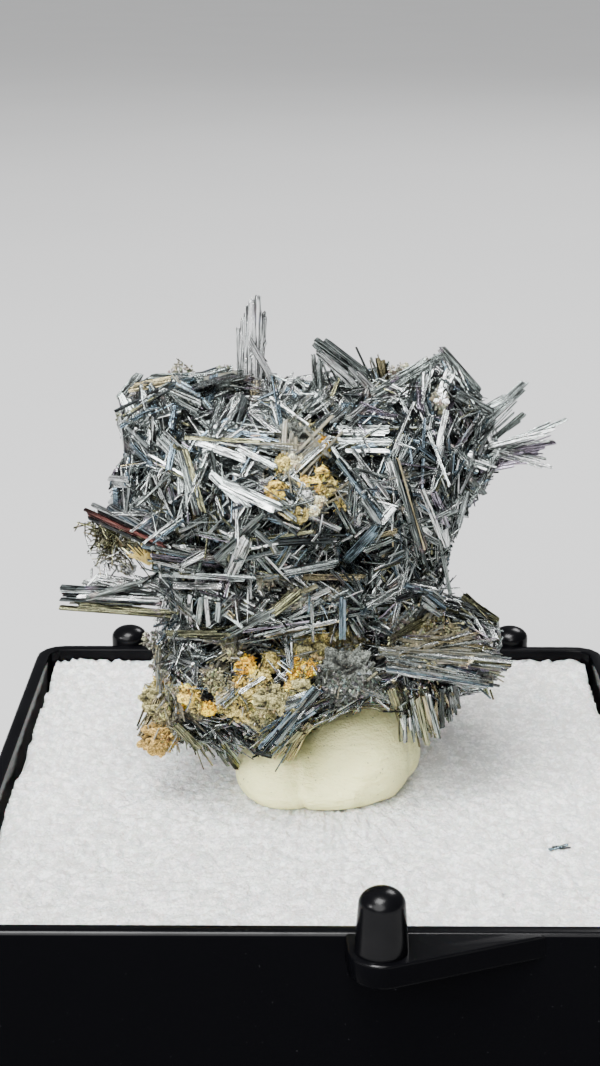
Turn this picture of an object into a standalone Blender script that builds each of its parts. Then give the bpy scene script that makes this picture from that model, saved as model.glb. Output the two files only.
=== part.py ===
"""Stibnite crystal spray on mineral putty, on the foam pad of a small black display box base.

World frame: metres, +Z up, origin at the centre of the underside of the box, -Y towards the front catch.
The tables below are in millimetres and MM turns them into metres.
"""

import math
import random

import bmesh
import bpy
from mathutils import Matrix, Vector, noise
from mathutils.bvhtree import BVHTree

MM = 0.001
GAP = 0.3                    # clearance kept between neighbouring solids

# ---- display box base ----
BOX_SIDE = 30.5
BOX_CORNER = 1.4
RIM_HEIGHT = 8.2
WALL = 0.7
FLOOR = 1.2
CAVITY_CORNER = 0.7
CAVITY_SIDE = BOX_SIDE - 2 * WALL
FRONT = -BOX_SIDE / 2
EDGE_ROUNDING = 0.15

# catch lug at the front: a thin flange that tapers into the rim, with a round-topped post on it
LUG_THICKNESS = 1.0
LUG_LEFT = 0.9
LUG_RIGHT = 8.7
LUG_ROOT = 0.4               # how far the flange runs back into the wall
LUG_SHOULDER = 0.4           # how far it stands straight out beside the post
LUG_STEP = 0.05              # its top lies this far under the rim
LUG_NOSE_ARC = (190, 285)    # degrees that the nose runs round the post
LUG_NOSE_STEPS = 10
POST_X = 2.27
POST_Y = -16.3
POST_FOOT_RADIUS = 1.06
POST_TOP_RADIUS = 0.92
POST_HEIGHT = 2.55
POST_DOME = 0.65
POST_SUNK = 0.7              # depth of its foot in the flange
LUG_NOSE_RADIUS = 1.3

# hinge lugs at the back: upright pegs with domed tops
HINGE_X = 10.45
HINGE_Y = 16.0
HINGE_RADIUS = 0.95
HINGE_FOOT = 3.0
HINGE_TOP = 9.0
HINGE_DOME = 0.6
ROUND_SIDES = 16
SAME_HEIGHT = 1e-4

# ---- foam pad ----
FOAM_SIDE = CAVITY_SIDE - 2 * GAP
FOAM_BOTTOM = FLOOR + GAP
FOAM_TOP = 7.55
FOAM_CORNER = 0.5
FOAM_EDGE = 0.25

# ---- mineral putty: lumps pressed together, (centre, radii) ----
PUTTY_FOOT = FOAM_TOP + GAP
PUTTY_KEPT_FACES = 0.6       # share of its faces that stay after flattening
PUTTY_CUT_SIDE = 12.0        # block that cuts it flat
PUTTY_LUMPS = {
    "right": ((1.7, -0.1, 8.9), (2.5, 3.2, 2.1)),
    "left": ((-1.7, -0.5, 8.3), (2.1, 2.7, 1.5)),
    "back": ((0.5, 1.7, 8.5), (3.0, 2.4, 1.7)),
    "end": ((3.5, 0.5, 8.7), (0.9, 1.3, 1.2)),
    "middle": ((0.0, -0.6, 8.0), (3.0, 2.9, 1.3)),
}

# ---- crystal spray ----
# The grown-together core, as lumps (centre, radii).
CORE_LUMPS = {
    "upper_left": ((-5.5, 0.9, 21.7), (3.7, 5.4, 4.1)),
    "left_shoulder": ((-6.6, 1.0, 24.3), (2.3, 4.0, 2.2)),
    "upper_middle": ((-1.8, 0.9, 21.7), (4.6, 6.1, 4.3)),
    "roof": ((-3.0, 1.0, 24.3), (4.8, 4.4, 2.3)),
    "upper_right": ((2.4, 1.0, 22.2), (3.8, 5.6, 4.2)),
    "crown_right": ((4.8, 1.2, 24.6), (2.2, 3.2, 2.4)),
    "spray_root": ((6.0, 0.8, 22.7), (1.8, 2.5, 1.8)),
    "right_flank": ((4.6, 1.1, 20.3), (2.0, 4.0, 3.0)),
    "waist": ((-1.6, 0.9, 17.4), (5.6, 5.3, 2.8)),
    "waist_right": ((3.0, 1.1, 17.7), (2.5, 4.2, 3.2)),
    "lower_left": ((-4.4, 0.6, 13.9), (3.2, 5.2, 2.9)),
    "ridge": ((-1.2, -0.6, 13.2), (4.4, 4.2, 2.5)),
    "lower_right": ((3.0, 0.7, 13.9), (3.8, 4.9, 2.5)),
    "right_shelf": ((5.8, 0.6, 14.0), (2.3, 3.6, 1.9)),
    "left_toe": ((-6.3, -0.8, 11.0), (1.6, 2.2, 1.8)),
    "heel": ((0.4, 1.8, 11.4), (4.2, 3.4, 2.2)),
}
CORE_SINK = 0.2              # the core lies this far under the crystals that cover it
CORE_VOXEL = 0.0005          # metres; grain at which the lumps melt together
CORE_ROUGHNESS = 0.45        # height of its knobs and pits
CORE_KNOBS = 0.55            # how closely they follow each other, per millimetre
CORE_KEPT_FACES = 0.09       # share of the melted faces that stay after flattening

# Crystals that stand clear of the core: (root, tip, width).
STANDING = {
    "top_flame": [
        ((-3.9, 0.2, 26.0), (-3.6, 0.1, 29.1), 0.35),
        ((-3.6, 0.0, 26.0), (-3.4, 0.0, 29.5), 0.40),
        ((-3.2, -0.2, 26.0), (-2.7, -0.2, 30.4), 0.60),
        ((-2.7, 0.1, 26.0), (-2.4, 0.1, 29.4), 0.40),
    ],
    "crown_blades": [
        ((2.2, 0.2, 26.0), (-0.3, -0.2, 28.3), 0.62),
        ((1.3, -0.6, 26.0), (-0.1, -0.8, 27.7), 0.40),
        ((-0.2, 0.0, 25.6), (-0.3, -0.2, 27.7), 0.30),
        ((2.7, 0.3, 25.6), (2.6, 0.2, 27.5), 0.36),
    ],
    "crown_ridge": [
        ((2.9, -0.6, 25.6), (5.4, 0.6, 27.8), 0.60),
        ((4.0, 1.4, 25.8), (5.2, 1.6, 27.6), 0.60),
        ((5.7, 0.8, 27.0), (7.2, 0.4, 25.4), 0.50),
    ],
    "right_spray": [
        ((5.8, -1.2, 22.6), (8.2, 0.0, 23.4), 0.72),
        ((7.4, 0.0, 23.1), (10.9, 0.4, 24.8), 0.48),
        ((7.4, -0.3, 23.3), (10.4, -0.4, 24.2), 0.32),
        ((7.4, 0.2, 23.2), (10.4, 0.6, 23.6), 0.32),
        ((7.4, -0.2, 23.3), (10.4, -0.1, 22.5), 0.40),
    ],
    "small_spray": [
        ((6.6, 0.8, 24.3), (9.1, 0.6, 26.4), 0.48),
        ((7.2, 0.4, 24.2), (9.0, 0.2, 25.0), 0.30),
    ],
    "left_top": [
        ((-7.4, -1.6, 24.2), (-9.1, -0.2, 25.2), 0.56),
        ((-7.2, -1.9, 24.5), (-8.9, -0.4, 26.0), 0.42),
        ((-7.2, 0.2, 26.0), (-8.6, 0.2, 26.6), 0.44),
    ],
    "copper_blade": [
        ((-5.9, -2.6, 19.6), (-10.6, -0.8, 21.0), 0.86),
        ((-5.9, -2.4, 20.2), (-9.7, -0.8, 21.4), 0.40),
    ],
    "left_bundle": [
        ((-4.4, 0.4, 16.8), (-11.9, 0.4, 16.7), 0.42),
        ((-5.0, 0.2, 16.3), (-11.9, 0.3, 16.2), 0.40),
        ((-5.0, 0.4, 15.6), (-12.0, 0.6, 15.9), 0.46),
        ((-5.6, 0.5, 17.2), (-10.3, 0.5, 17.3), 0.44),
        ((-6.0, 0.0, 17.6), (-10.6, 0.2, 16.4), 0.36),
    ],
    "left_toe": [
        ((-5.9, -1.8, 12.2), (-5.5, -2.2, 9.2), 0.48),
        ((-5.2, -1.2, 12.0), (-3.8, -1.7, 8.6), 0.66),
        ((-6.6, -1.0, 12.4), (-8.1, -1.2, 10.0), 0.62),
    ],
    "under_ledge": [
        ((-0.2, -4.3, 13.9), (-2.6, -4.7, 11.1), 0.56),
        ((-0.5, -4.3, 12.3), (-1.6, -4.2, 10.5), 0.42),
    ],
    "fan_right": [
        ((2.6, -3.1, 15.2), (8.5, -1.7, 14.0), 0.46),
        ((2.8, -3.5, 14.9), (7.9, -2.3, 14.7), 0.42),
        ((2.8, -3.7, 14.6), (7.7, -2.3, 13.2), 0.46),
        ((3.4, -3.3, 15.1), (7.0, -1.9, 15.6), 0.44),
        ((6.0, -0.2, 16.8), (7.6, -0.6, 14.6), 0.48),
        ((4.0, 0.4, 17.6), (8.1, 0.3, 15.4), 0.42),
    ],
    "fan_down": [
        ((2.8, -4.0, 14.0), (3.9, -2.6, 10.6), 0.46),
        ((2.9, -4.0, 14.0), (4.7, -4.0, 11.1), 0.46),
        ((3.1, -3.9, 14.1), (5.3, -3.1, 11.1), 0.46),
        ((3.3, -3.9, 14.3), (5.8, -2.9, 11.9), 0.46),
        ((3.4, -3.8, 14.4), (6.1, -3.5, 12.7), 0.42),
    ],
}

# Crystals that lie on the front of the core: ends (x, z) and width; the core sets how deep they lie.
LYING = {
    "crown": [
        ((5.3, 25.8), (5.8, 26.9), 0.48),
        ((4.2, 25.5), (4.3, 26.7), 0.34),
        ((5.3, 25.8), (4.9, 24.0), 0.30),
        ((1.5, 26.1), (2.9, 25.6), 0.34),
    ],
    "upper_laths": [
        ((0.5, 25.2), (2.9, 25.3), 0.30),
        ((0.6, 24.8), (3.0, 24.8), 0.34),
        ((0.9, 24.2), (2.9, 24.5), 0.30),
    ],
    "right_side": [
        ((3.1, 24.2), (4.7, 18.5), 0.46),
        ((2.8, 24.1), (3.1, 22.5), 0.38),
        ((4.2, 22.8), (5.5, 18.9), 0.34),
        ((4.9, 22.5), (5.8, 19.8), 0.34),
        ((1.6, 22.6), (2.4, 21.4), 0.32),
        ((3.2, 22.4), (2.4, 21.3), 0.32),
        ((6.4, 22.2), (6.2, 19.8), 0.32),
    ],
    "waist_right": [
        ((0.9, 19.3), (2.4, 21.4), 0.50),
        ((-0.9, 18.9), (2.0, 18.4), 0.34),
        ((-1.9, 20.9), (0.8, 20.8), 0.42),
        ((-1.8, 19.1), (0.8, 19.6), 0.40),
        ((0.9, 15.4), (0.9, 17.9), 0.34),
    ],
    "upper_left": [
        ((-4.3, 26.2), (-4.9, 24.9), 0.40),
        ((-3.5, 26.0), (-4.6, 24.8), 0.56),
        ((-5.3, 24.9), (-3.1, 24.1), 0.34),
        ((-3.6, 24.7), (-1.8, 24.0), 0.34),
        ((-6.3, 26.0), (-6.5, 23.7), 0.32),
        ((-6.0, 24.5), (-5.0, 21.8), 0.56),
        ((-4.3, 23.3), (-1.6, 22.3), 0.54),
        ((-4.8, 23.7), (-3.0, 22.2), 0.42),
        ((-2.9, 26.8), (-2.8, 26.1), 0.42),
    ],
    "upper_middle": [
        ((-1.2, 26.2), (-0.2, 26.6), 0.30),
        ((-0.8, 25.9), (0.2, 26.3), 0.30),
        ((-0.4, 25.6), (0.6, 26.0), 0.30),
    ],
    "left_edge": [
        ((-8.2, 22.8), (-9.3, 21.9), 0.56),
        ((-7.8, 23.6), (-8.8, 22.6), 0.34),
    ],
    "waist_left": [
        ((-7.2, 17.5), (-2.7, 18.6), 0.40),
        ((-6.6, 17.2), (-4.3, 18.0), 0.34),
        ((-6.2, 19.2), (-5.0, 20.1), 0.34),
        ((-4.1, 18.4), (-3.0, 21.1), 0.50),
        ((-4.7, 19.5), (-2.3, 22.2), 0.46),
        ((-2.9, 21.5), (-2.0, 20.7), 0.32),
        ((-6.2, 15.9), (-6.1, 17.3), 0.30),
        ((-5.4, 16.0), (-5.3, 17.5), 0.30),
        ((-4.6, 16.2), (-4.5, 17.6), 0.30),
    ],
    "long_bundle": [
        ((-7.0, 15.3), (-4.0, 16.0), 0.50),
        ((-4.2, 15.9), (-2.0, 17.4), 0.50),
        ((-2.2, 17.2), (-0.8, 18.3), 0.48),
        ((-6.8, 14.8), (-5.4, 14.9), 0.34),
    ],
    "lower_right": [
        ((3.0, 15.7), (5.4, 16.0), 0.42),
        ((3.5, 18.3), (5.0, 17.2), 0.36),
        ((3.2, 17.6), (5.2, 16.8), 0.38),
    ],
}
LYING_LIFT = 0.02            # how far a lying crystal's middle line stands off the core
LYING_STEPS = 4              # places along it that are held clear of the core
WIDE_BLADE = 0.58            # crystals this wide have six sides, narrower ones four
BLADE_FLATNESS = 0.62        # thickness over width
BLADE_TAPER = 0.8            # tip width over root width
TIP_SLANT = 0.7              # how far the sloping end face runs back, in widths

# Crystals scattered over the rest of the core, in pairs that almost share a direction.
SCATTER_SEED = 23
SCATTER_PAIRS = 44
SCATTER_LENGTH = (2.4, 4.6)
SCATTER_WIDTH = (0.42, 0.70)
SCATTER_RISE = (-0.10, 0.40)    # slope of a crystal away from the surface
SCATTER_SPREAD = 0.22
SCATTER_LIFT = 0.05
SCATTER_ROOT = 0.45          # share of a crystal that lies behind the place it is set on
SCATTER_FRONT = 0.3          # faces that look further forward than this are left to LYING
LOWEST_SCATTER = 10.3

# ---- finishes: colour, roughness, metallic ----
FINISHES = {
    "box_base": ((0.012, 0.012, 0.013), 0.12, 0.0),
    "foam_insert": ((0.82, 0.83, 0.84), 0.85, 0.0),
    "mineral_putty": ((0.80, 0.77, 0.60), 0.55, 0.0),
    "stibnite_spray": ((0.30, 0.32, 0.35), 0.28, 0.9),
}


def clear_scene():
    """Remove every object that the file opens with."""
    for thing in list(bpy.data.objects):
        bpy.data.objects.remove(thing, do_unlink=True)


def new_collection(name):
    """A collection under the scene's own."""
    group = bpy.data.collections.new(name)
    bpy.context.scene.collection.children.link(group)
    return group


def finish_material(name):
    """The Principled material of one sub-part."""
    colour, roughness, metallic = FINISHES[name]
    material = bpy.data.materials.new(name)
    material.use_nodes = True
    shader = material.node_tree.nodes["Principled BSDF"]
    shader.inputs["Base Color"].default_value = (*colour, 1.0)
    shader.inputs["Roughness"].default_value = roughness
    shader.inputs["Metallic"].default_value = metallic
    return material


def new_object(name, shape, collection):
    """Turn a bmesh in millimetres into an object in metres, and free the bmesh."""
    bmesh.ops.scale(shape, vec=(MM, MM, MM), verts=shape.verts)
    bmesh.ops.recalc_face_normals(shape, faces=shape.faces)
    mesh = bpy.data.meshes.new(name)
    shape.to_mesh(mesh)
    shape.free()
    thing = bpy.data.objects.new(name, mesh)
    collection.objects.link(thing)
    return thing


def as_cutter(thing):
    """Mark a helper shape that isn't a sub-part."""
    thing.hide_render = True
    thing.display_type = 'WIRE'
    return thing


def boolean(thing, operation, other, self_crossing=False):
    """Add an EXACT Boolean of thing with other."""
    modifier = thing.modifiers.new(operation.title(), 'BOOLEAN')
    modifier.operation = operation
    modifier.solver = 'EXACT'
    modifier.object = other
    modifier.use_self = self_crossing
    return modifier


def edges_at(shape, height):
    """The edges that lie level at a height."""
    return [e for e in shape.edges if all(abs(v.co.z - height) < SAME_HEIGHT for v in e.verts)]


def rounded_block(side, corner, bottom, top, rim_edge=0.0):
    """A square block with rounded upright edges, and its top edge bevelled by rim_edge."""
    shape = bmesh.new()
    bmesh.ops.create_cube(shape, size=1.0)
    bmesh.ops.scale(shape, vec=(side, side, top - bottom), verts=shape.verts)
    bmesh.ops.translate(shape, vec=(0, 0, (top + bottom) / 2), verts=shape.verts)
    upright = [e for e in shape.edges if abs(e.verts[0].co.z - e.verts[1].co.z) > SAME_HEIGHT]
    bmesh.ops.bevel(shape, geom=upright, offset=corner, segments=3, profile=0.5, affect='EDGES')
    if rim_edge:
        rim = edges_at(shape, top)
        bmesh.ops.bevel(shape, geom=rim, offset=rim_edge, segments=1, profile=0.5, affect='EDGES')
    return shape


def domed_peg(x, y, foot, top, foot_radius, top_radius, dome):
    """An upright round peg: a cone frustum whose top edge is rounded over by dome."""
    shape = bmesh.new()
    height = top - foot
    bmesh.ops.create_cone(shape, cap_ends=True, segments=ROUND_SIDES, radius1=foot_radius,
                          radius2=top_radius, depth=height)
    bmesh.ops.translate(shape, vec=(x, y, foot + height / 2), verts=shape.verts)
    bmesh.ops.bevel(shape, geom=edges_at(shape, top), offset=dome, segments=3, profile=0.5, affect='EDGES')
    return shape


def lug_flange():
    """The thin flange in front of the rim: an outline through the wall, round the post and back."""
    outline = [(LUG_RIGHT, FRONT + LUG_ROOT), (LUG_LEFT, FRONT + LUG_ROOT), (LUG_LEFT, FRONT - LUG_SHOULDER)]
    arc_start, arc_end = LUG_NOSE_ARC
    for step in range(LUG_NOSE_STEPS + 1):
        angle = math.radians(arc_start + (arc_end - arc_start) * step / LUG_NOSE_STEPS)
        outline.append((POST_X + LUG_NOSE_RADIUS * math.cos(angle),
                        POST_Y + LUG_NOSE_RADIUS * math.sin(angle)))
    outline.append((LUG_RIGHT, FRONT - LUG_STEP))
    shape = bmesh.new()
    corners = [shape.verts.new((x, y, RIM_HEIGHT - LUG_THICKNESS)) for x, y in outline]
    face = shape.faces.new(corners)
    raised = bmesh.ops.extrude_face_region(shape, geom=[face])["geom"]
    top_corners = [v for v in raised if isinstance(v, bmesh.types.BMVert)]
    bmesh.ops.translate(shape, vec=(0, 0, LUG_THICKNESS - LUG_STEP), verts=top_corners)
    return shape


def make_box_base(parts, cutters):
    """The moulded tray, with its cavity cut out and its lugs joined on."""
    tray = new_object("box_base", rounded_block(BOX_SIDE, BOX_CORNER, 0, RIM_HEIGHT, EDGE_ROUNDING), parts)
    cavity = rounded_block(CAVITY_SIDE, CAVITY_CORNER, FLOOR, 2 * RIM_HEIGHT)
    boolean(tray, 'DIFFERENCE', as_cutter(new_object("box_cavity", cavity, cutters)))
    boolean(tray, 'UNION', as_cutter(new_object("catch_lug", lug_flange(), cutters)))
    post = domed_peg(POST_X, POST_Y, RIM_HEIGHT - POST_SUNK, RIM_HEIGHT + POST_HEIGHT,
                     POST_FOOT_RADIUS, POST_TOP_RADIUS, POST_DOME)
    boolean(tray, 'UNION', as_cutter(new_object("catch_post", post, cutters)))
    for side, name in ((-1, "hinge_left"), (1, "hinge_right")):
        peg = domed_peg(side * HINGE_X, HINGE_Y, HINGE_FOOT, HINGE_TOP, HINGE_RADIUS, HINGE_RADIUS,
                       HINGE_DOME)
        boolean(tray, 'UNION', as_cutter(new_object(name, peg, cutters)))
    tray.data.materials.append(finish_material("box_base"))
    return tray


def make_foam_insert(parts):
    """The square foam pad."""
    pad = new_object("foam_insert", rounded_block(FOAM_SIDE, FOAM_CORNER, FOAM_BOTTOM, FOAM_TOP, FOAM_EDGE),
                     parts)
    pad.data.materials.append(finish_material("foam_insert"))
    return pad


def add_ellipsoid(shape, centre, radii, subdivisions):
    """Add a smooth round lump."""
    ball = bmesh.ops.create_icosphere(shape, subdivisions=subdivisions, radius=1.0)["verts"]
    for vertex in ball:
        vertex.co = Vector(centre) + Vector([d * r for d, r in zip(vertex.co, radii)])


def lump_shape(lumps, grow, subdivisions):
    """The overlapping lumps, each grown by grow on every side, as one bmesh."""
    shape = bmesh.new()
    for centre, radii in lumps.values():
        add_ellipsoid(shape, centre, [r + grow for r in radii], subdivisions)
    return shape


def merge_lumps(name, lumps, grow, subdivisions, collection, cutters):
    """One closed object: the exact union of all the lumps, joined round a kernel inside the first."""
    merged = new_object(name, lump_shape(lumps, grow, subdivisions), collection)
    kernel = bmesh.new()
    centre, radii = next(iter(lumps.values()))
    add_ellipsoid(kernel, centre, [0.5 * r for r in radii], 1)
    boolean(merged, 'UNION', as_cutter(new_object(name + "_kernel", kernel, cutters)), self_crossing=True)
    return merged


def melted_core(cutters):
    """The rugged core: its lumps melted together, knobbed by smooth noise and flattened into facets."""
    lumps = as_cutter(new_object("core_lumps", lump_shape(CORE_LUMPS, -CORE_SINK, 3), cutters))
    melt = lumps.modifiers.new("Melt", 'REMESH')
    melt.mode = 'VOXEL'
    melt.voxel_size = CORE_VOXEL
    core = as_cutter(baked(lumps, "crystal_core", cutters))
    shape = bmesh.new()
    shape.from_mesh(core.data)
    shape.normal_update()
    pushes = [v.normal * noise.noise(v.co / MM * CORE_KNOBS) * CORE_ROUGHNESS * MM for v in shape.verts]
    for vertex, push in zip(shape.verts, pushes):
        vertex.co += push
    shape.to_mesh(core.data)
    shape.free()
    flatten = core.modifiers.new("Flatten", 'DECIMATE')
    flatten.ratio = CORE_KEPT_FACES
    return core


def make_mineral_putty(parts, cutters):
    """The putty: its lumps joined, and pressed flat underneath."""
    putty = merge_lumps("mineral_putty", PUTTY_LUMPS, 0.0, 3, parts, cutters)
    under = bmesh.new()
    bmesh.ops.create_cube(under, size=PUTTY_CUT_SIDE)
    bmesh.ops.translate(under, vec=(0, 0, PUTTY_FOOT - PUTTY_CUT_SIDE / 2), verts=under.verts)
    flatten = putty.modifiers.new("Flatten", 'DECIMATE')
    flatten.ratio = PUTTY_KEPT_FACES
    boolean(putty, 'DIFFERENCE', as_cutter(new_object("putty_foot_cut", under, cutters)))
    putty.data.materials.append(finish_material("mineral_putty"))
    return putty


def front_depth(tree, x, z):
    """The Y where a line along +Y at (x, z) first meets the core; None beside it."""
    hit = tree.ray_cast(Vector((x, -BOX_SIDE, z)) * MM, Vector((0, 1, 0)))[0]
    return hit.y / MM if hit else None


def lying_ends(tree, start, end):
    """Both ends of a lying crystal: its middle line is laid on the core and touches the highest place."""
    shares = [step / LYING_STEPS for step in range(LYING_STEPS + 1)]
    places = [[a + (b - a) * share for a, b in zip(start, end)] for share in shares]
    depths = [front_depth(tree, *place) for place in places]
    met = [depth for depth in depths if depth is not None]
    first = met[0]
    last = met[-1]
    push = max(first + (last - first) * share - depth
               for share, depth in zip(shares, depths) if depth is not None)
    push += LYING_LIFT
    return Vector((start[0], first - push, start[1])), Vector((end[0], last - push, end[1]))


def add_blade(shape, root, tip, width, outward, slant):
    """Add one flat six-sided crystal from root to tip, its broad face outward and its end face sloping."""
    axis = tip - root
    length = axis.length
    forward = axis.normalized()
    across = forward.cross(outward).normalized()
    normal = across.cross(forward).normalized()
    frame = Matrix((across, normal, forward)).transposed().to_4x4()
    frame.translation = root + forward * (length / 2)
    squash = Matrix.Diagonal((1.0, BLADE_FLATNESS, 1.0, 1.0))
    sides = 6 if width >= WIDE_BLADE else 4
    made = bmesh.ops.create_cone(shape, cap_ends=True, segments=sides, radius1=width / 2,
                                 radius2=width / 2 * BLADE_TAPER, depth=length)["verts"]
    for vertex in made:
        if vertex.co.z > 0:
            vertex.co.z -= slant * TIP_SLANT * (vertex.co.x + width / 2 * BLADE_TAPER)
        vertex.co = frame @ squash @ vertex.co


def scatter_blades(shape, core):
    """Cover the sides, back and top of the core with crossing pairs of crystals, evenly by area."""
    chance = random.Random(SCATTER_SEED)
    mesh = core.evaluated_get(bpy.context.evaluated_depsgraph_get()).to_mesh()
    bare = [face for face in mesh.polygons
            if face.center.z > LOWEST_SCATTER * MM and face.normal.y > -SCATTER_FRONT]
    for face in chance.choices(bare, weights=[face.area for face in bare], k=SCATTER_PAIRS):
        place = face.center / MM
        normal = face.normal.copy()
        along = normal.cross(Vector([chance.gauss(0, 1) for _ in range(3)])).normalized()
        for _ in range(2):
            lean = chance.uniform(*SCATTER_RISE)
            turn = Vector([chance.gauss(0, SCATTER_SPREAD) for _ in range(3)])
            forward = (along + normal * lean + turn).normalized()
            length = chance.uniform(*SCATTER_LENGTH)
            root = place + normal * SCATTER_LIFT - forward * length * SCATTER_ROOT
            add_blade(shape, root, root + forward * length, chance.uniform(*SCATTER_WIDTH), normal,
                      chance.choice((-1, 1)))


def add_listed_blades(shape, core):
    """Add the crystals of the two tables, the lying ones laid on the core."""
    tree = BVHTree.FromObject(core, bpy.context.evaluated_depsgraph_get())
    for rows in STANDING.values():
        for number, (root, tip, width) in enumerate(rows):
            add_blade(shape, Vector(root), Vector(tip), width, Vector((0, -1, 0.2)), 1 - 2 * (number % 2))
    for rows in LYING.values():
        for number, (start, end, width) in enumerate(rows):
            root, tip = lying_ends(tree, start, end)
            add_blade(shape, root, tip, width, Vector((0, -1, 0.1)), 1 - 2 * (number % 2))


def keep_largest_piece(mesh):
    """Delete every loose fragment but the one with the most faces."""
    shape = bmesh.new()
    shape.from_mesh(mesh)
    unseen = set(shape.verts)
    pieces = []
    while unseen:
        front = [unseen.pop()]
        piece = set(front)
        while front:
            for edge in front.pop().link_edges:
                for vertex in edge.verts:
                    if vertex in unseen:
                        unseen.discard(vertex)
                        piece.add(vertex)
                        front.append(vertex)
        pieces.append(piece)
    largest = max(pieces, key=len)
    loose = [v for piece in pieces if piece is not largest for v in piece]
    bmesh.ops.delete(shape, geom=loose, context='VERTS')
    shape.to_mesh(mesh)
    shape.free()


def baked(thing, name, collection):
    """A plain mesh object with thing's modifiers applied."""
    graph = bpy.context.evaluated_depsgraph_get()
    mesh = bpy.data.meshes.new_from_object(thing.evaluated_get(graph))
    mesh.name = name
    result = bpy.data.objects.new(name, mesh)
    collection.objects.link(result)
    return result


def make_stibnite_spray(parts, cutters):
    """The spray: core and crystals joined in one solid, hollowed where it sits in the putty."""
    crystals = bmesh.new()
    core = melted_core(cutters)
    add_listed_blades(crystals, core)
    scatter_blades(crystals, core)
    blades = as_cutter(new_object("crystal_blades", crystals, cutters))
    boolean(core, 'UNION', blades, self_crossing=True)
    seat = as_cutter(merge_lumps("putty_clearance", PUTTY_LUMPS, GAP, 2, cutters, cutters))
    boolean(core, 'DIFFERENCE', seat)
    spray = baked(core, "stibnite_spray", parts)
    keep_largest_piece(spray.data)
    spray.data.materials.clear()
    spray.data.materials.append(finish_material("stibnite_spray"))
    return spray


def main():
    """Build the four sub-parts."""
    clear_scene()
    parts = new_collection("stibnite_specimen")
    cutters = new_collection("cutters")
    make_box_base(parts, cutters)
    make_foam_insert(parts)
    make_mineral_putty(parts, cutters)
    make_stibnite_spray(parts, cutters)


main()
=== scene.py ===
"""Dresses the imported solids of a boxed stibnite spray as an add-on that also runs as a script."""

import math

import bpy
import numpy as np
from bpy.props import FloatProperty, FloatVectorProperty, IntProperty, PointerProperty
from mathutils import Euler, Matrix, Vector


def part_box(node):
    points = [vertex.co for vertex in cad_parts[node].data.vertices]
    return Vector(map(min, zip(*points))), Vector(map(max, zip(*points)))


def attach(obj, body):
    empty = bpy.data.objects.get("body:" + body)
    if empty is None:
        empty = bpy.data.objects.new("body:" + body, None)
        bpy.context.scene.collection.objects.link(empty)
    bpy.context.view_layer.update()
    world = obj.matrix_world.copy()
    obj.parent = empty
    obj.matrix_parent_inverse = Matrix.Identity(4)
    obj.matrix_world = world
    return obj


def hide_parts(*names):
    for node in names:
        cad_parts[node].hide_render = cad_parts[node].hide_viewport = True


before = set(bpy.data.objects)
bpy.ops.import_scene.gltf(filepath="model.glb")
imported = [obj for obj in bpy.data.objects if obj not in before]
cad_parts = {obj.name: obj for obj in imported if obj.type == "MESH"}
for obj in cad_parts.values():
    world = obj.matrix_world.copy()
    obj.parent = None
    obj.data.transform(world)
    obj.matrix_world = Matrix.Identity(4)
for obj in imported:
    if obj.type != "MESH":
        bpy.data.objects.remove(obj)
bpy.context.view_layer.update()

bl_info = {
    "name": "Stibnite crystal spray",
    "version": (1, 0, 0),
    "blender": (4, 5, 0),
    "location": "View3D > Sidebar > Specimen",
    "description": "Crossing striated blades, ochre crust, putty, foam and a black box base",
    "category": "Add Mesh",
}

MM = 0.001

# ---------------------------------------------------------------------------------------------
# Driving dimensions, in millimetres, as in the solids
# ---------------------------------------------------------------------------------------------

BOX_LOW, BOX_HIGH = [np.array(corner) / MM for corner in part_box("box_base")]
FOAM_LOW, FOAM_HIGH = [np.array(corner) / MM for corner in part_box("foam_insert")]
BOX_SIDE = BOX_HIGH[0] - BOX_LOW[0]
BOX_CORNER = 1.4
RIM_HEIGHT = 8.2
WALL = 0.7
FLOOR = 1.2
FRONT = -BOX_SIDE / 2
FOAM_TOP = FOAM_HIGH[2]

# catch lug at the front: a thin flange that tapers into the rim, with a round-topped post on it
LUG_THICKNESS = 1.0
LUG_LEFT = 0.9
LUG_RIGHT = 8.7
LUG_ROOT = 0.4
LUG_SHOULDER = 0.4
LUG_STEP = 0.05
LUG_NOSE_RADIUS = 1.3
LUG_NOSE_ARC = (190, 285)
POST_X = 2.27
POST_Y = -16.3
POST_FOOT_RADIUS = 1.06
POST_TOP_RADIUS = 0.92
POST_HEIGHT = 2.55
POST_DOME = 0.65
POST_SUNK = 0.7
POLISH_BELOW_RIM = 0.16      # the plastic is polished from this far under the rim upwards
POLISH_FADE = 0.05

# hinge lugs at the back: upright pegs with domed tops
HINGE_X = 10.45
HINGE_Y = 16.0
HINGE_RADIUS = 0.95
HINGE_FOOT = 3.0
HINGE_TOP = 9.0
HINGE_DOME = 0.6

# points round the box's skins
BOX_AROUND = 200
POST_AROUND = 48
PEG_AROUND = 40
INNER_ROUNDING = 0.12        # radius of the rim's inner edge

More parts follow.
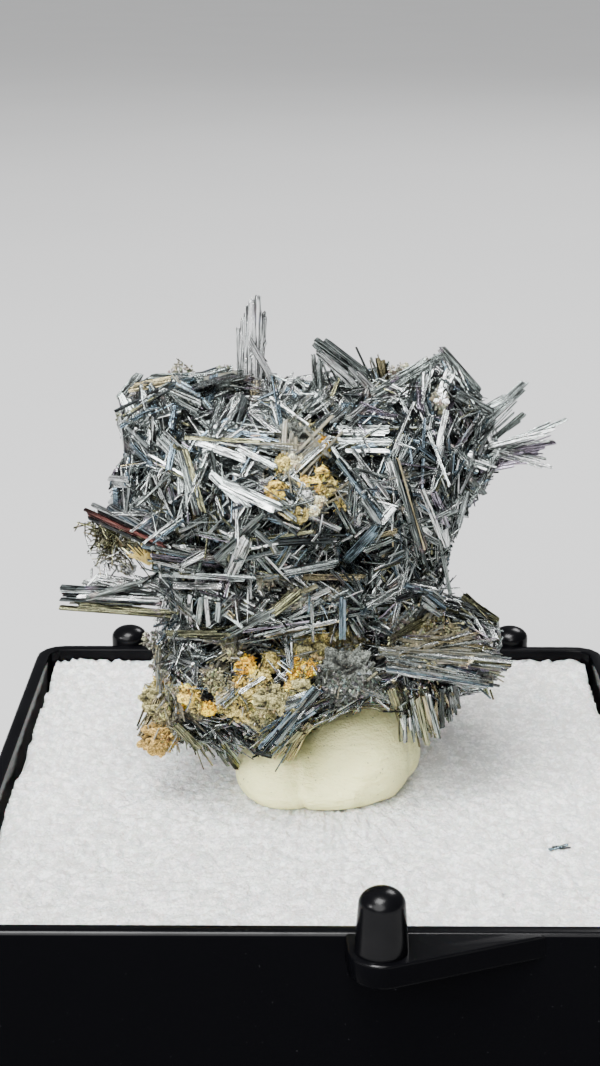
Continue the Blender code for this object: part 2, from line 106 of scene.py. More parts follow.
# The grown-together core of the spray, as lumps (centre, radii).
CORE_LUMPS = {
    "upper_left": ((-5.5, 0.9, 21.7), (3.7, 5.4, 4.1)),
    "left_shoulder": ((-6.6, 1.0, 24.3), (2.3, 4.0, 2.2)),
    "upper_middle": ((-1.8, 0.9, 21.7), (4.6, 6.1, 4.3)),
    "roof": ((-3.0, 1.0, 24.3), (4.8, 4.4, 2.3)),
    "upper_right": ((2.4, 1.0, 22.2), (3.8, 5.6, 4.2)),
    "crown_right": ((4.8, 1.2, 24.6), (2.2, 3.2, 2.4)),
    "spray_root": ((6.0, 0.8, 22.7), (1.8, 2.5, 1.8)),
    "right_flank": ((4.6, 1.1, 20.3), (2.0, 4.0, 3.0)),
    "waist": ((-1.6, 0.9, 17.4), (5.6, 5.3, 2.8)),
    "waist_right": ((3.0, 1.1, 17.7), (2.5, 4.2, 3.2)),
    "lower_left": ((-4.4, 0.6, 13.9), (3.2, 5.2, 2.9)),
    "ridge": ((-1.2, -0.6, 13.2), (4.4, 4.2, 2.5)),
    "lower_right": ((3.0, 0.7, 13.9), (3.8, 4.9, 2.5)),
    "right_shelf": ((5.8, 0.6, 14.0), (2.3, 3.6, 1.9)),
    "left_toe": ((-6.3, -0.8, 11.0), (1.6, 2.2, 1.8)),
    "heel": ((0.4, 1.8, 11.4), (4.2, 3.4, 2.2)),
}
LUMP_CENTRES = np.array([centre for centre, _ in CORE_LUMPS.values()])
LUMP_RADII = np.array([radii for _, radii in CORE_LUMPS.values()])

PUTTY_LUMPS = {
    "right": ((1.7, -0.1, 8.9), (2.5, 3.2, 2.1)),
    "left": ((-1.7, -0.5, 8.3), (2.1, 2.7, 1.5)),
    "back": ((0.5, 1.7, 8.5), (3.0, 2.4, 1.7)),
    "end": ((3.5, 0.5, 8.7), (0.9, 1.3, 1.2)),
    "middle": ((0.0, -0.6, 8.0), (3.0, 2.9, 1.3)),
}
PUTTY_HEART = (0.7, 0.3, 8.5)
PUTTY_GRID = (220, 120)      # points round and up it
PUTTY_BLEND = 7              # how sharply its lumps meet
PUTTY_RISE = 0.5             # how far its top is squeezed up between the crystals
PUTTY_UNDER_FOAM = 0.12      # how far it is pressed into the foam
PUTTY_FLATNESS = 9           # how sharply it flattens there
PUTTY_CREASE = (-1.2, 9.3, -0.22)  # X of the crease, at this height, and its slope
PUTTY_CREASE_DEPTH = 0.17
PUTTY_CREASE_WIDTH = 0.18

FOAM_AROUND = 540            # points round the pad
FOAM_RINGS = 100             # rings on its top
FOAM_CORNER = 0.5
FOAM_EDGE_FROM = 0.965       # its edge is worn from this share of the way out
FOAM_WEAR = 0.55             # how deep
FOAM_SWELL = 0.25            # how far the pad has swollen up along the back wall
FOAM_SWELL_FROM = 0.6        # from this share of the way back
FOAM_GAP = 0.02              # how far it stays clear of the box's floor

CORE_GRID = (40, 24)         # points round and up a lump of the core
CORE_KNOBS = 0.34            # how far its surface is pushed in and out

# Surface colours that a crystal can have. bright, white, steel, grey and dark are one metal painted at
# different levels of light: bright and white are painted highlight on laths that catch the light, dark is
# painted shade on laths in shadow, and steel and grey lie between them; blue, lilac, copper, olive and tan
# are the crystals' own tarnish and dust colours.
TINTS = {
    "bright": (0.93, 0.97, 0.96),
    "white": (0.74, 0.78, 0.76),
    "steel": (0.36, 0.40, 0.39),
    "grey": (0.19, 0.215, 0.205),
    "blue": (0.20, 0.27, 0.32),
    "lilac": (0.37, 0.33, 0.40),
    "copper": (0.26, 0.10, 0.085),
    "olive": (0.25, 0.25, 0.15),
    "tan": (0.40, 0.35, 0.21),
    "dark": (0.045, 0.052, 0.052),
}

# Outline (x, z) of the spray's body as seen from the eye point, on the plane y = OUTLINE_PLANE, without
# the crystals that stand clear of it. Random crystals stay inside it.
EYE = np.array((-0.411, -78.94, 45.39))
EYE_TILT = 18.087            # degrees that the camera looks down
EYE_TURN = 0.4035            # and to its left
OUTLINE_PLANE = 0.5
OUTLINE = np.array((
    (-7.8, 13.3), (-7.9, 15.0), (-8.0, 16.2), (-8.6, 17.3), (-9.8, 18.7), (-9.5, 21.0), (-9.5, 22.0),
    (-8.8, 23.1), (-9.1, 25.1), (-8.8, 25.9), (-7.6, 26.7), (-5.4, 26.7), (-4.3, 27.0), (-2.1, 26.8),
    (-0.5, 26.5), (0.3, 27.5), (1.3, 27.2), (2.7, 27.4), (3.2, 26.6), (5.3, 27.9), (5.9, 27.3), (6.6, 26.2),
    (7.6, 25.4), (7.9, 23.8), (7.9, 22.4), (7.3, 21.4), (6.5, 20.2), (5.9, 18.9), (5.7, 17.7), (6.9, 16.7),
    (8.1, 15.2), (8.7, 13.2), (8.1, 12.0), (6.3, 10.6), (5.6, 9.0), (3.9, 9.2), (3.3, 10.5), (2.7, 10.7),
    (1.0, 10.5), (-0.1, 9.9), (-1.0, 9.2), (-1.7, 8.2), (-2.8, 8.4), (-3.8, 7.8), (-4.9, 9.0), (-6.0, 9.4),
    (-6.8, 8.8), (-7.6, 8.4), (-8.4, 9.1), (-8.0, 11.3),
))

# Crystals that stand clear of the core: (root, tip, width, laths side by side, tint).
STANDING = {
    "top_flame": [
        ((-3.6, 0.2, 27.3), (-3.6, 0.2, 28.9), 0.27, 2, "bright"),
        ((-3.5, 0.1, 27.3), (-3.4, 0.1, 29.4), 0.18, 1, "bright"),
        ((-3.3, 0.0, 27.4), (-3.2, 0.0, 29.9), 0.23, 2, "bright"),
        ((-3.1, -0.1, 27.5), (-3.0, -0.1, 30.2), 0.32, 2, "bright"),
        ((-2.8, -0.2, 27.5), (-2.7, -0.2, 30.4), 0.36, 2, "bright"),
        ((-2.6, 0.1, 27.9), (-2.5, 0.1, 29.4), 0.18, 1, "bright"),
        ((-2.7, -0.5, 27.7), (-2.2, -0.5, 26.8), 0.23, 1, "bright"),
    ],
    "crown_blades": [
        ((1.3, 0.2, 27.2), (-0.3, -0.2, 28.5), 0.61, 3, "steel"),
        ((0.8, -0.6, 27.1), (-0.2, -0.8, 28.1), 0.34, 2, "white"),
        ((-0.3, 0.0, 26.6), (-0.4, -0.2, 27.8), 0.17, 1, "white"),
        ((-0.1, -0.3, 26.7), (-0.1, -0.4, 27.7), 0.17, 1, "steel"),
        ((2.2, -0.6, 26.3), (1.2, -0.6, 27.4), 0.35, 2, "white"),
        ((2.7, 0.3, 26.7), (2.5, 0.2, 27.6), 0.35, 2, "tan"),
        ((2.7, 0.3, 26.9), (2.9, 0.3, 27.4), 0.13, 1, "steel"),
    ],
    "crown_ridge": [
        ((2.9, -0.6, 26.5), (5.3, 0.6, 27.7), 0.52, 3, "grey"),
        ((5.8, 0.8, 27.2), (6.9, 0.4, 26.0), 0.35, 2, "grey"),
        ((3.6, -0.7, 26.3), (4.8, 0.2, 27.0), 0.30, 2, "white"),
        ((6.4, -0.6, 25.9), (7.5, 0.4, 25.1), 0.35, 2, "steel"),
        ((5.3, -0.9, 26.5), (5.6, -0.3, 27.1), 0.43, 2, "white"),
    ],
    "right_spray": [
        ((5.9, -1.2, 22.7), (7.9, 0.0, 23.6), 0.66, 4, "grey"),
        ((7.9, 0.0, 23.5), (10.8, 0.4, 24.8), 0.44, 3, "steel"),
        ((7.8, -0.3, 23.8), (10.2, -0.4, 24.5), 0.26, 2, "white"),
        ((8.1, 0.2, 23.3), (10.4, 0.6, 23.6), 0.27, 2, "lilac"),
        ((7.8, -0.2, 23.4), (10.2, -0.1, 22.7), 0.35, 3, "white"),
        ((7.3, -0.4, 22.7), (8.7, -0.4, 23.0), 0.26, 2, "lilac"),
    ],
    "small_spray": [
        ((7.5, 0.8, 24.8), (9.0, 0.6, 26.4), 0.44, 3, "steel"),
        ((8.3, 0.4, 24.5), (8.9, 0.2, 25.1), 0.22, 1, "grey"),
        ((7.0, 0.6, 25.1), (8.2, 0.8, 25.7), 0.27, 2, "steel"),
    ],
    "left_top": [
        ((-8.0, -1.6, 24.1), (-9.0, -0.2, 25.2), 0.52, 3, "olive"),
        ((-7.5, -1.9, 24.4), (-8.7, -0.4, 26.1), 0.35, 2, "steel"),
        ((-7.8, -1.2, 25.2), (-8.7, -0.4, 25.8), 0.22, 1, "white"),
        ((-7.5, 0.2, 26.4), (-8.5, 0.2, 26.2), 0.35, 2, "tan"),
        ((-5.0, 0.6, 26.7), (-7.6, 0.6, 26.6), 0.26, 1, "grey"),
        ((-8.4, 0.4, 26.3), (-8.0, 0.4, 26.8), 0.31, 1, "steel"),
    ],
    "left_bundle": [
        ((-7.0, 0.4, 16.6), (-11.9, 0.4, 16.8), 0.32, 2, ("dark", "steel")),
        ((-8.2, 0.2, 16.3), (-11.9, 0.3, 16.4), 0.32, 2, ("white", "dark")),
        ((-7.4, 0.4, 15.6), (-12.0, 0.6, 15.9), 0.37, 2, "olive"),
        ((-8.3, 0.0, 17.2), (-10.7, 0.2, 16.4), 0.27, 1, "grey"),
        ((-7.1, 0.1, 16.9), (-8.5, 0.2, 17.4), 0.27, 1, "white"),
        ((-8.3, 0.5, 16.9), (-10.2, 0.5, 17.3), 0.36, 1, "white"),
    ],
}
ROOT_SUNK = 0.9              # how far a standing crystal runs on into the core behind its root

# Crystals that lean on the front of the core and stop at their root: (root, tip, width, laths, tint).
LEANING = {
    "left_toe": [
        ((-6.5, -3.1, 11.6), (-5.5, -2.6, 10.2), 0.36, 2, "olive"),
        ((-5.2, -2.3, 11.2), (-3.9, -1.0, 8.5), 0.64, 5, ("grey", "steel", "dark", "olive", "steel")),
        ((-7.4, -1.6, 12.2), (-8.1, -2.0, 10.4), 0.36, 2, "tan"),
    ],
    "copper_blade": [
        ((-6.7, -4.1, 20.4), (-10.5, -0.3, 20.8), 0.78, 5, ("white", "dark", "copper", "copper", "dark")),
        ((-6.7, -4.5, 20.8), (-9.4, -1.3, 21.3), 0.30, 2, ("white", "blue")),
    ],
    "fan_right": [
        ((2.5, -3.7, 15.4), (8.5, -2.0, 14.1), 0.35, 3, ("steel", "olive", "white")),
        ((2.8, -3.9, 15.1), (8.0, -1.9, 14.5), 0.31, 3, ("white", "grey", "steel")),
        ((2.8, -4.5, 14.9), (7.7, -2.1, 13.1), 0.35, 3, ("white", "blue", "steel")),
        ((3.4, -3.6, 15.2), (7.0, -1.2, 15.3), 0.31, 3, ("steel", "tan", "white")),
        ((6.4, 0.5, 16.1), (7.4, -1.7, 14.9), 0.45, 3, ("white", "dark", "white")),
        ((6.4, 0.3, 16.5), (8.1, 0.3, 15.3), 0.27, 2, "olive"),
    ],
    "fan_plates": [
        ((6.8, 1.0, 15.9), (7.8, -0.9, 14.8), 0.41, 2, "white"),
        ((7.1, -2.1, 14.8), (8.5, -0.5, 13.3), 0.45, 3, ("steel", "olive", "white")),
        ((4.8, -2.5, 15.4), (7.5, -1.8, 14.8), 0.22, 2, ("white", "tan")),
        ((3.4, -3.9, 15.0), (5.7, -2.9, 14.3), 0.26, 2, "steel"),
        ((5.5, -3.1, 14.4), (7.1, -2.5, 13.7), 0.31, 3, ("steel", "white", "blue")),
        ((5.4, -3.2, 14.0), (6.6, -2.5, 13.2), 0.27, 2, ("steel", "blue")),
        ((6.5, -2.9, 14.4), (8.6, -0.7, 13.4), 0.27, 2, ("lilac", "grey")),
        ((6.9, -2.7, 14.0), (8.1, -0.7, 13.0), 0.22, 2, "dark"),
        ((6.9, -2.3, 13.4), (7.8, -0.9, 12.7), 0.27, 2, "olive"),
        ((7.3, -2.2, 13.2), (7.5, -2.0, 12.6), 0.09, 1, "olive"),
    ],
    "fan_comb": [
        ((3.0, -5.1, 14.2), (3.8, -1.4, 10.7), 0.35, 3, ("olive", "tan", "olive")),
        ((3.6, -3.0, 12.1), (3.7, -2.7, 10.6), 0.36, 2, ("olive", "steel")),
        ((3.9, -3.1, 12.0), (4.0, -2.9, 11.3), 0.13, 1, "white"),
        ((4.1, -3.7, 13.2), (4.7, -2.3, 10.3), 0.40, 2, ("steel", "olive")),
        ((4.6, -3.6, 13.3), (5.2, -2.2, 10.6), 0.40, 2, ("tan", "steel")),
        ((5.0, -2.6, 12.6), (5.3, -1.5, 10.4), 0.27, 2, "olive"),
        ((5.3, -3.0, 13.4), (5.5, -1.7, 10.9), 0.18, 1, "dark"),
        ((5.6, -2.6, 13.2), (5.9, -1.2, 11.0), 0.18, 1, "grey"),
        ((5.7, -2.8, 13.4), (6.1, -1.2, 11.5), 0.18, 1, "steel"),
        ((5.9, -2.9, 13.5), (6.3, -1.0, 11.5), 0.18, 1, "dark"),
    ],
    "under_ledge": [
        ((-0.2, -4.8, 14.1), (-2.6, -4.5, 11.0), 0.52, 4, ("blue", "steel", "dark", "grey")),
        ((-0.5, -4.4, 12.3), (-1.6, -2.6, 9.7), 0.31, 2, "tan"),
    ],
    "foot_laths": [
        ((-3.6, -3.2, 10.9), (-2.6, -2.8, 9.9), 0.23, 2, ("grey", "dark")),
        ((-4.2, -3.2, 11.8), (-3.5, -2.8, 10.7), 0.27, 2, "dark"),
        ((-5.2, -2.4, 11.2), (-4.7, -2.8, 11.0), 0.14, 1, "white"),
        ((-6.4, -2.9, 11.4), (-5.7, -2.8, 10.7), 0.18, 1, "white"),
        ((-6.2, -2.8, 11.8), (-5.3, -2.5, 10.9), 0.18, 1, "dark"),
        ((-5.2, -2.4, 10.6), (-4.5, -2.8, 10.3), 0.18, 1, "grey"),
        ((-6.1, -3.0, 11.2), (-5.5, -1.9, 9.8), 0.18, 2, "olive"),
        ((-2.6, -3.2, 10.9), (-2.0, -2.8, 11.1), 0.09, 1, "white"),
    ],
    "ledge_laths": [
        ((-0.1, -4.5, 13.9), (-1.6, -4.7, 13.4), 0.30, 2, "steel"),
        ((-0.2, -4.7, 13.8), (-1.7, -4.7, 12.9), 0.26, 2, ("grey", "dark")),
        ((-0.3, -4.9, 13.1), (-2.2, -4.0, 11.4), 0.26, 2, ("white", "blue")),
        ((-1.0, -4.8, 13.1), (-1.8, -4.5, 12.4), 0.13, 1, "olive"),
        ((-1.7, -4.6, 12.4), (-2.3, -3.9, 11.8), 0.09, 1, "white"),
        ((-2.1, -4.4, 11.7), (-2.3, -4.3, 11.5), 0.09, 1, "white"),
        ((-2.3, -4.4, 11.9), (-3.0, -3.9, 10.9), 0.13, 1, "olive"),
        ((-0.9, -4.6, 12.0), (-1.4, -4.0, 11.2), 0.18, 1, "olive"),
        ((-2.9, -3.7, 10.6), (-2.2, -3.4, 10.2), 0.18, 1, "dark"),
        ((-2.5, -4.0, 14.3), (-3.6, -4.4, 13.7), 0.17, 1, "white"),
        ((-4.5, -4.5, 13.4), (-4.1, -4.2, 12.9), 0.09, 1, "white"),
        ((-4.4, -3.7, 12.2), (-3.4, -4.1, 12.9), 0.22, 1, "tan"),
    ],
    "hollow": [
        ((-8.7, 0.3, 18.2), (-9.6, 0.3, 19.0), 0.09, 1, "tan"),
        ((-9.2, 0.3, 19.6), (-9.4, 0.3, 19.0), 0.14, 1, "olive"),
        ((-9.6, 0.3, 19.4), (-9.9, 0.3, 19.0), 0.18, 1, "olive"),
        ((-7.8, -2.9, 20.1), (-6.8, -3.6, 20.0), 0.13, 1, "olive"),
        ((-10.2, 0.3, 19.9), (-10.2, 0.3, 19.4), 0.09, 1, "olive"),
        ((-9.9, 0.3, 18.1), (-9.5, 0.3, 18.0), 0.09, 1, "white"),
    ],
}

LEANING_LIFT = 0.35          # how far they stand out from the core, towards the front

# Places (x, z), radius on the front where the random crystals are thin, so that the listed ones show.
THINNED = (
    ((4.6, 12.2), 1.7), ((5.8, 14.3), 1.5), ((7.4, 14.0), 1.2), ((-1.3, 12.8), 1.3), ((-7.9, 19.3), 1.2),
    ((-8.3, 20.5), 1.0), ((-2.6, 13.6), 1.2),
)
THINNED_SHARE = 0.85         # the share of them that is left out there

# Crystals that lie on the front of the core: ends (x, z), width, laths and tint.
LYING = {
    "crown": [
        ((4.2, 25.8), (4.2, 26.7), 0.26, 1, "lilac"),
        ((5.3, 25.8), (4.9, 24.2), 0.17, 1, "white"),
        ((1.6, 26.0), (2.7, 25.7), 0.26, 2, "lilac"),
    ],
    "upper_laths": [
        ((0.6, 25.2), (2.8, 25.4), 0.17, 1, "steel"),
        ((0.7, 25.1), (2.8, 25.2), 0.25, 2, "white"),
        ((0.7, 24.8), (2.9, 24.9), 0.25, 1, "steel"),
        ((1.0, 24.5), (2.8, 24.6), 0.17, 1, "white"),
        ((1.3, 24.6), (2.8, 24.9), 0.17, 1, "blue"),
    ],
    "right_side": [
        ((3.0, 24.5), (4.5, 19.3), 0.34, 4, ("grey", "steel", "dark", "tan")),
        ((2.8, 24.2), (3.1, 23.1), 0.33, 2, "white"),
        ((4.2, 23.0), (5.3, 20.0), 0.21, 2, "white"),
        ((4.7, 22.7), (5.4, 20.8), 0.26, 2, "lilac"),
        ((5.3, 20.8), (5.4, 20.0), 0.17, 1, "white"),
        ((1.7, 22.7), (2.4, 21.7), 0.25, 1, "steel"),
        ((3.0, 22.4), (2.5, 21.8), 0.25, 1, "white"),
        ((6.3, 22.2), (5.9, 20.6), 0.22, 2, "steel"),
        ((7.1, 21.9), (6.4, 22.8), 0.22, 1, "grey"),
    ],
    "waist_right": [
        ((1.0, 19.5), (2.3, 21.6), 0.42, 2, "blue"),
        ((-0.9, 19.5), (0.5, 19.4), 0.21, 1, "white"),
        ((-0.8, 19.0), (1.9, 18.6), 0.26, 2, "tan"),
        ((-1.8, 21.1), (0.7, 20.9), 0.33, 3, "dark"),
        ((-1.6, 19.5), (0.7, 19.6), 0.30, 2, "steel"),
    ],
    "upper_left": [
        ((-4.3, 26.4), (-4.7, 25.1), 0.34, 2, "steel"),
        ((-3.5, 26.4), (-4.5, 25.1), 0.51, 4, ("white", "grey", "white", "steel")),
        ((-5.3, 26.3), (-5.5, 26.1), 0.26, 1, "white"),
        ((-5.2, 24.7), (-3.2, 24.2), 0.25, 1, "white"),
        ((-3.5, 24.6), (-1.9, 24.0), 0.25, 2, "steel"),
        ((-5.8, 24.9), (-2.6, 24.9), 0.13, 1, "olive"),
        ((-6.3, 24.6), (-6.5, 23.7), 0.21, 1, "blue"),
        ((-6.3, 26.0), (-6.4, 25.3), 0.21, 1, "blue"),
        ((-5.9, 24.5), (-5.1, 22.1), 0.50, 3, ("grey", "dark", "olive")),
        ((-4.2, 23.3), (-1.7, 22.5), 0.46, 2, ("white", "steel")),
        ((-4.7, 23.6), (-3.1, 22.4), 0.33, 2, "steel"),
        ((-2.9, 26.7), (-2.9, 26.4), 0.35, 1, "tan"),
    ],
    "upper_middle": [
        ((-1.1, 26.1), (-0.3, 26.2), 0.22, 1, "steel"),
        ((-1.0, 26.0), (0.0, 26.2), 0.22, 1, "white"),
        ((-0.8, 25.9), (0.2, 26.1), 0.22, 1, "steel"),
        ((-0.6, 25.8), (0.4, 26.1), 0.22, 1, "white"),
        ((-0.4, 25.8), (0.6, 26.0), 0.22, 1, "grey"),
        ((-0.3, 25.7), (0.7, 25.9), 0.22, 1, "white"),
        ((-1.6, 26.4), (-1.1, 26.2), 0.22, 1, "blue"),
    ],
    "left_edge": [
        ((-8.3, 22.9), (-9.4, 22.0), 0.52, 3, ("white", "steel", "white")),
        ((-7.9, 23.5), (-8.7, 22.6), 0.26, 1, "steel"),
        ((-9.0, 21.7), (-9.5, 20.8), 0.26, 1, "steel"),
    ],
    "waist_left": [
        ((-7.0, 18.7), (-2.8, 19.0), 0.30, 2, "steel"),
        ((-6.5, 17.9), (-4.3, 18.5), 0.22, 1, "white"),
        ((-6.0, 19.5), (-5.0, 20.2), 0.26, 1, "white"),
        ((-4.0, 18.8), (-3.1, 21.2), 0.42, 1, "white"),
        ((-4.5, 19.9), (-2.4, 22.3), 0.38, 2, "grey"),
        ((-2.8, 21.5), (-2.1, 20.9), 0.21, 1, "steel"),
        ((-6.2, 16.0), (-6.0, 17.6), 0.18, 1, "steel"),
        ((-5.8, 16.2), (-5.7, 17.9), 0.17, 1, "white"),
        ((-5.4, 16.5), (-5.2, 17.9), 0.17, 1, "steel"),
        ((-4.9, 16.6), (-5.0, 17.9), 0.17, 1, "white"),
        ((-4.5, 16.9), (-4.4, 18.0), 0.17, 1, "steel"),
    ],
    "long_bundle": [
        ((-6.9, 15.5), (-3.9, 16.5), 0.44, 4, "olive"),
        ((-4.1, 16.3), (-2.0, 17.8), 0.43, 4, "grey"),
        ((-2.1, 17.6), (-0.9, 18.5), 0.43, 4, "olive"),
        ((-6.7, 14.9), (-5.6, 15.0), 0.22, 1, "white"),
        ((0.9, 16.1), (0.9, 18.2), 0.26, 2, "blue"),
    ],
    "lower_right": [
        ((2.9, 16.2), (5.3, 16.2), 0.35, 3, "olive"),
        ((3.6, 18.4), (4.8, 17.6), 0.26, 2, "blue"),
        ((3.2, 17.9), (5.0, 17.8), 0.30, 3, "dark"),
    ],
}
LYING_LIFT = 0.45            # how far a lying crystal's middle line stands off the core's lumps

# A listed crystal is split into laths: their ends' jitter and widest cut as shares of its width and
# length, how much they overlap, and their shades.
LATH_JITTER = 0.08
LATH_CUT = 0.20
LATH_OVERLAP = (1.15, 1.5)
LATH_SHADES = (0.8, 1.15)

# Ends of a crystal: the last ring's (width, thickness) as shares of the section, plain and bevelled, the
# length of the bevel in widths, and the steepest slope of a cut end.
PLAIN_TIP = (0.92, 0.85)
BEVELLED_TIP = (0.8, 0.5)
BEVEL_LENGTHS = (0.25, 0.9)
END_SLANT = 0.8

# Random sheaves of crossing blades.
SHEAF_DEPTH = (-1.15, 0.30)  # where a sheaf lies, out from the surface of the lumps
SHEAF_LATHS = {1: 0.24, 2: 0.22, 3: 0.22, 4: 0.18, 6: 0.14}  # how often it has so many blades
SHEAF_SPREAD = (0.38, 0.50)  # spread of the logarithms of their lengths and widths
FINE_BELOW = 17.0            # they are finer under this height
FINER_BY = 0.38              # by this share
SHEAF_CLEARANCE = 1.0        # and stay this far over the foam

# How often a crossing blade has each tint where it is clean, and where it is dusty.
SHEAF_TINTS = {
    "white": (0.22, 0.12),
    "steel": (0.31, 0.22),
    "grey": (0.18, 0.22),
    "blue": (0.11, 0.06),
    "lilac": (0.03, 0.01),
    "dark": (0.11, 0.13),
    "olive": (0.03, 0.18),
    "tan": (0.01, 0.06),
}

# Powder on the crystals: most near a crust, as a share; then more under a height, over a fade.
DUST_BY_CRUSTS = 0.5
DUST_REACH = 1.3             # how far it reaches, in radii of the crust's patch
DUST_LOW = 0.16
DUST_BELOW = 17.0
DUST_FADE = 5.0
DUST_WANDER = 0.22

# Thin fibres that fill in between the crystals of a group: how many, their widths, their stray.
FIBRES = {
    "fan_right": (180, (0.06, 0.20), 0.20),
    "fan_plates": (150, (0.06, 0.18), 0.22),
    "fan_comb": (260, (0.05, 0.18), 0.16),
    "whole_fan": (200, (0.07, 0.22), 0.12),
    "left_bundle": (90, (0.10, 0.26), 0.06),
    "right_spray": (60, (0.06, 0.16), 0.10),
    "small_spray": (22, (0.06, 0.14), 0.12),
    "under_ledge": (70, (0.05, 0.14), 0.30),
    "ledge_laths": (170, (0.04, 0.14), 0.28),
    "foot_laths": (230, (0.04, 0.15), 0.28),
    "left_toe": (110, (0.06, 0.15), 0.30),
    "right_side": (90, (0.05, 0.12), 0.20),
    "top_flame": (150, (0.16, 0.32), 0.03),
    "crown_blades": (30, (0.06, 0.14), 0.12),
    "crown_ridge": (50, (0.05, 0.14), 0.25),
    "long_bundle": (60, (0.05, 0.12), 0.12),
    "hollow": (420, (0.04, 0.12), 0.50),
}
WHOLE_FAN = ("fan_right", "fan_plates", "fan_comb")
WHOLE_FAN_REACH = 0.6        # its fibres stop at this share of the way to the tips
FIBRE_SINK = 0.20            # how far the fibres lie behind the crystals that they fill in between
FIBRE_STARTS = (0.0, 0.45)   # where a fibre starts and stops, as shares of the way to its tip
FIBRE_STOPS = (0.6, 1.0)
FIBRE_SHADES = (0.3, 1.3)

# The fine yellow tuft.
TUFT_ROOT = (-7.5, -3.0, 19.2)
TUFT_NEEDLES = 64
TUFT_SPREAD = 0.06
TUFT_LENGTHS = (0.7, 1.25)
TUFT_WIDTHS = (0.035, 0.055)

# Loose splinter on the foam: root and tip (x, y, height over the foam), width and tint of its laths.
SPLINTER = (
    ((9.85, -7.1, 0.03), (10.72, -6.65, 0.03), 0.20, "blue"),
    ((10.0, -6.9, 0.07), (10.6, -6.8, 0.05), 0.12, "grey"),
    ((10.3, -7.0, 0.03), (10.8, -6.9, 0.03), 0.10, "dark"),
)

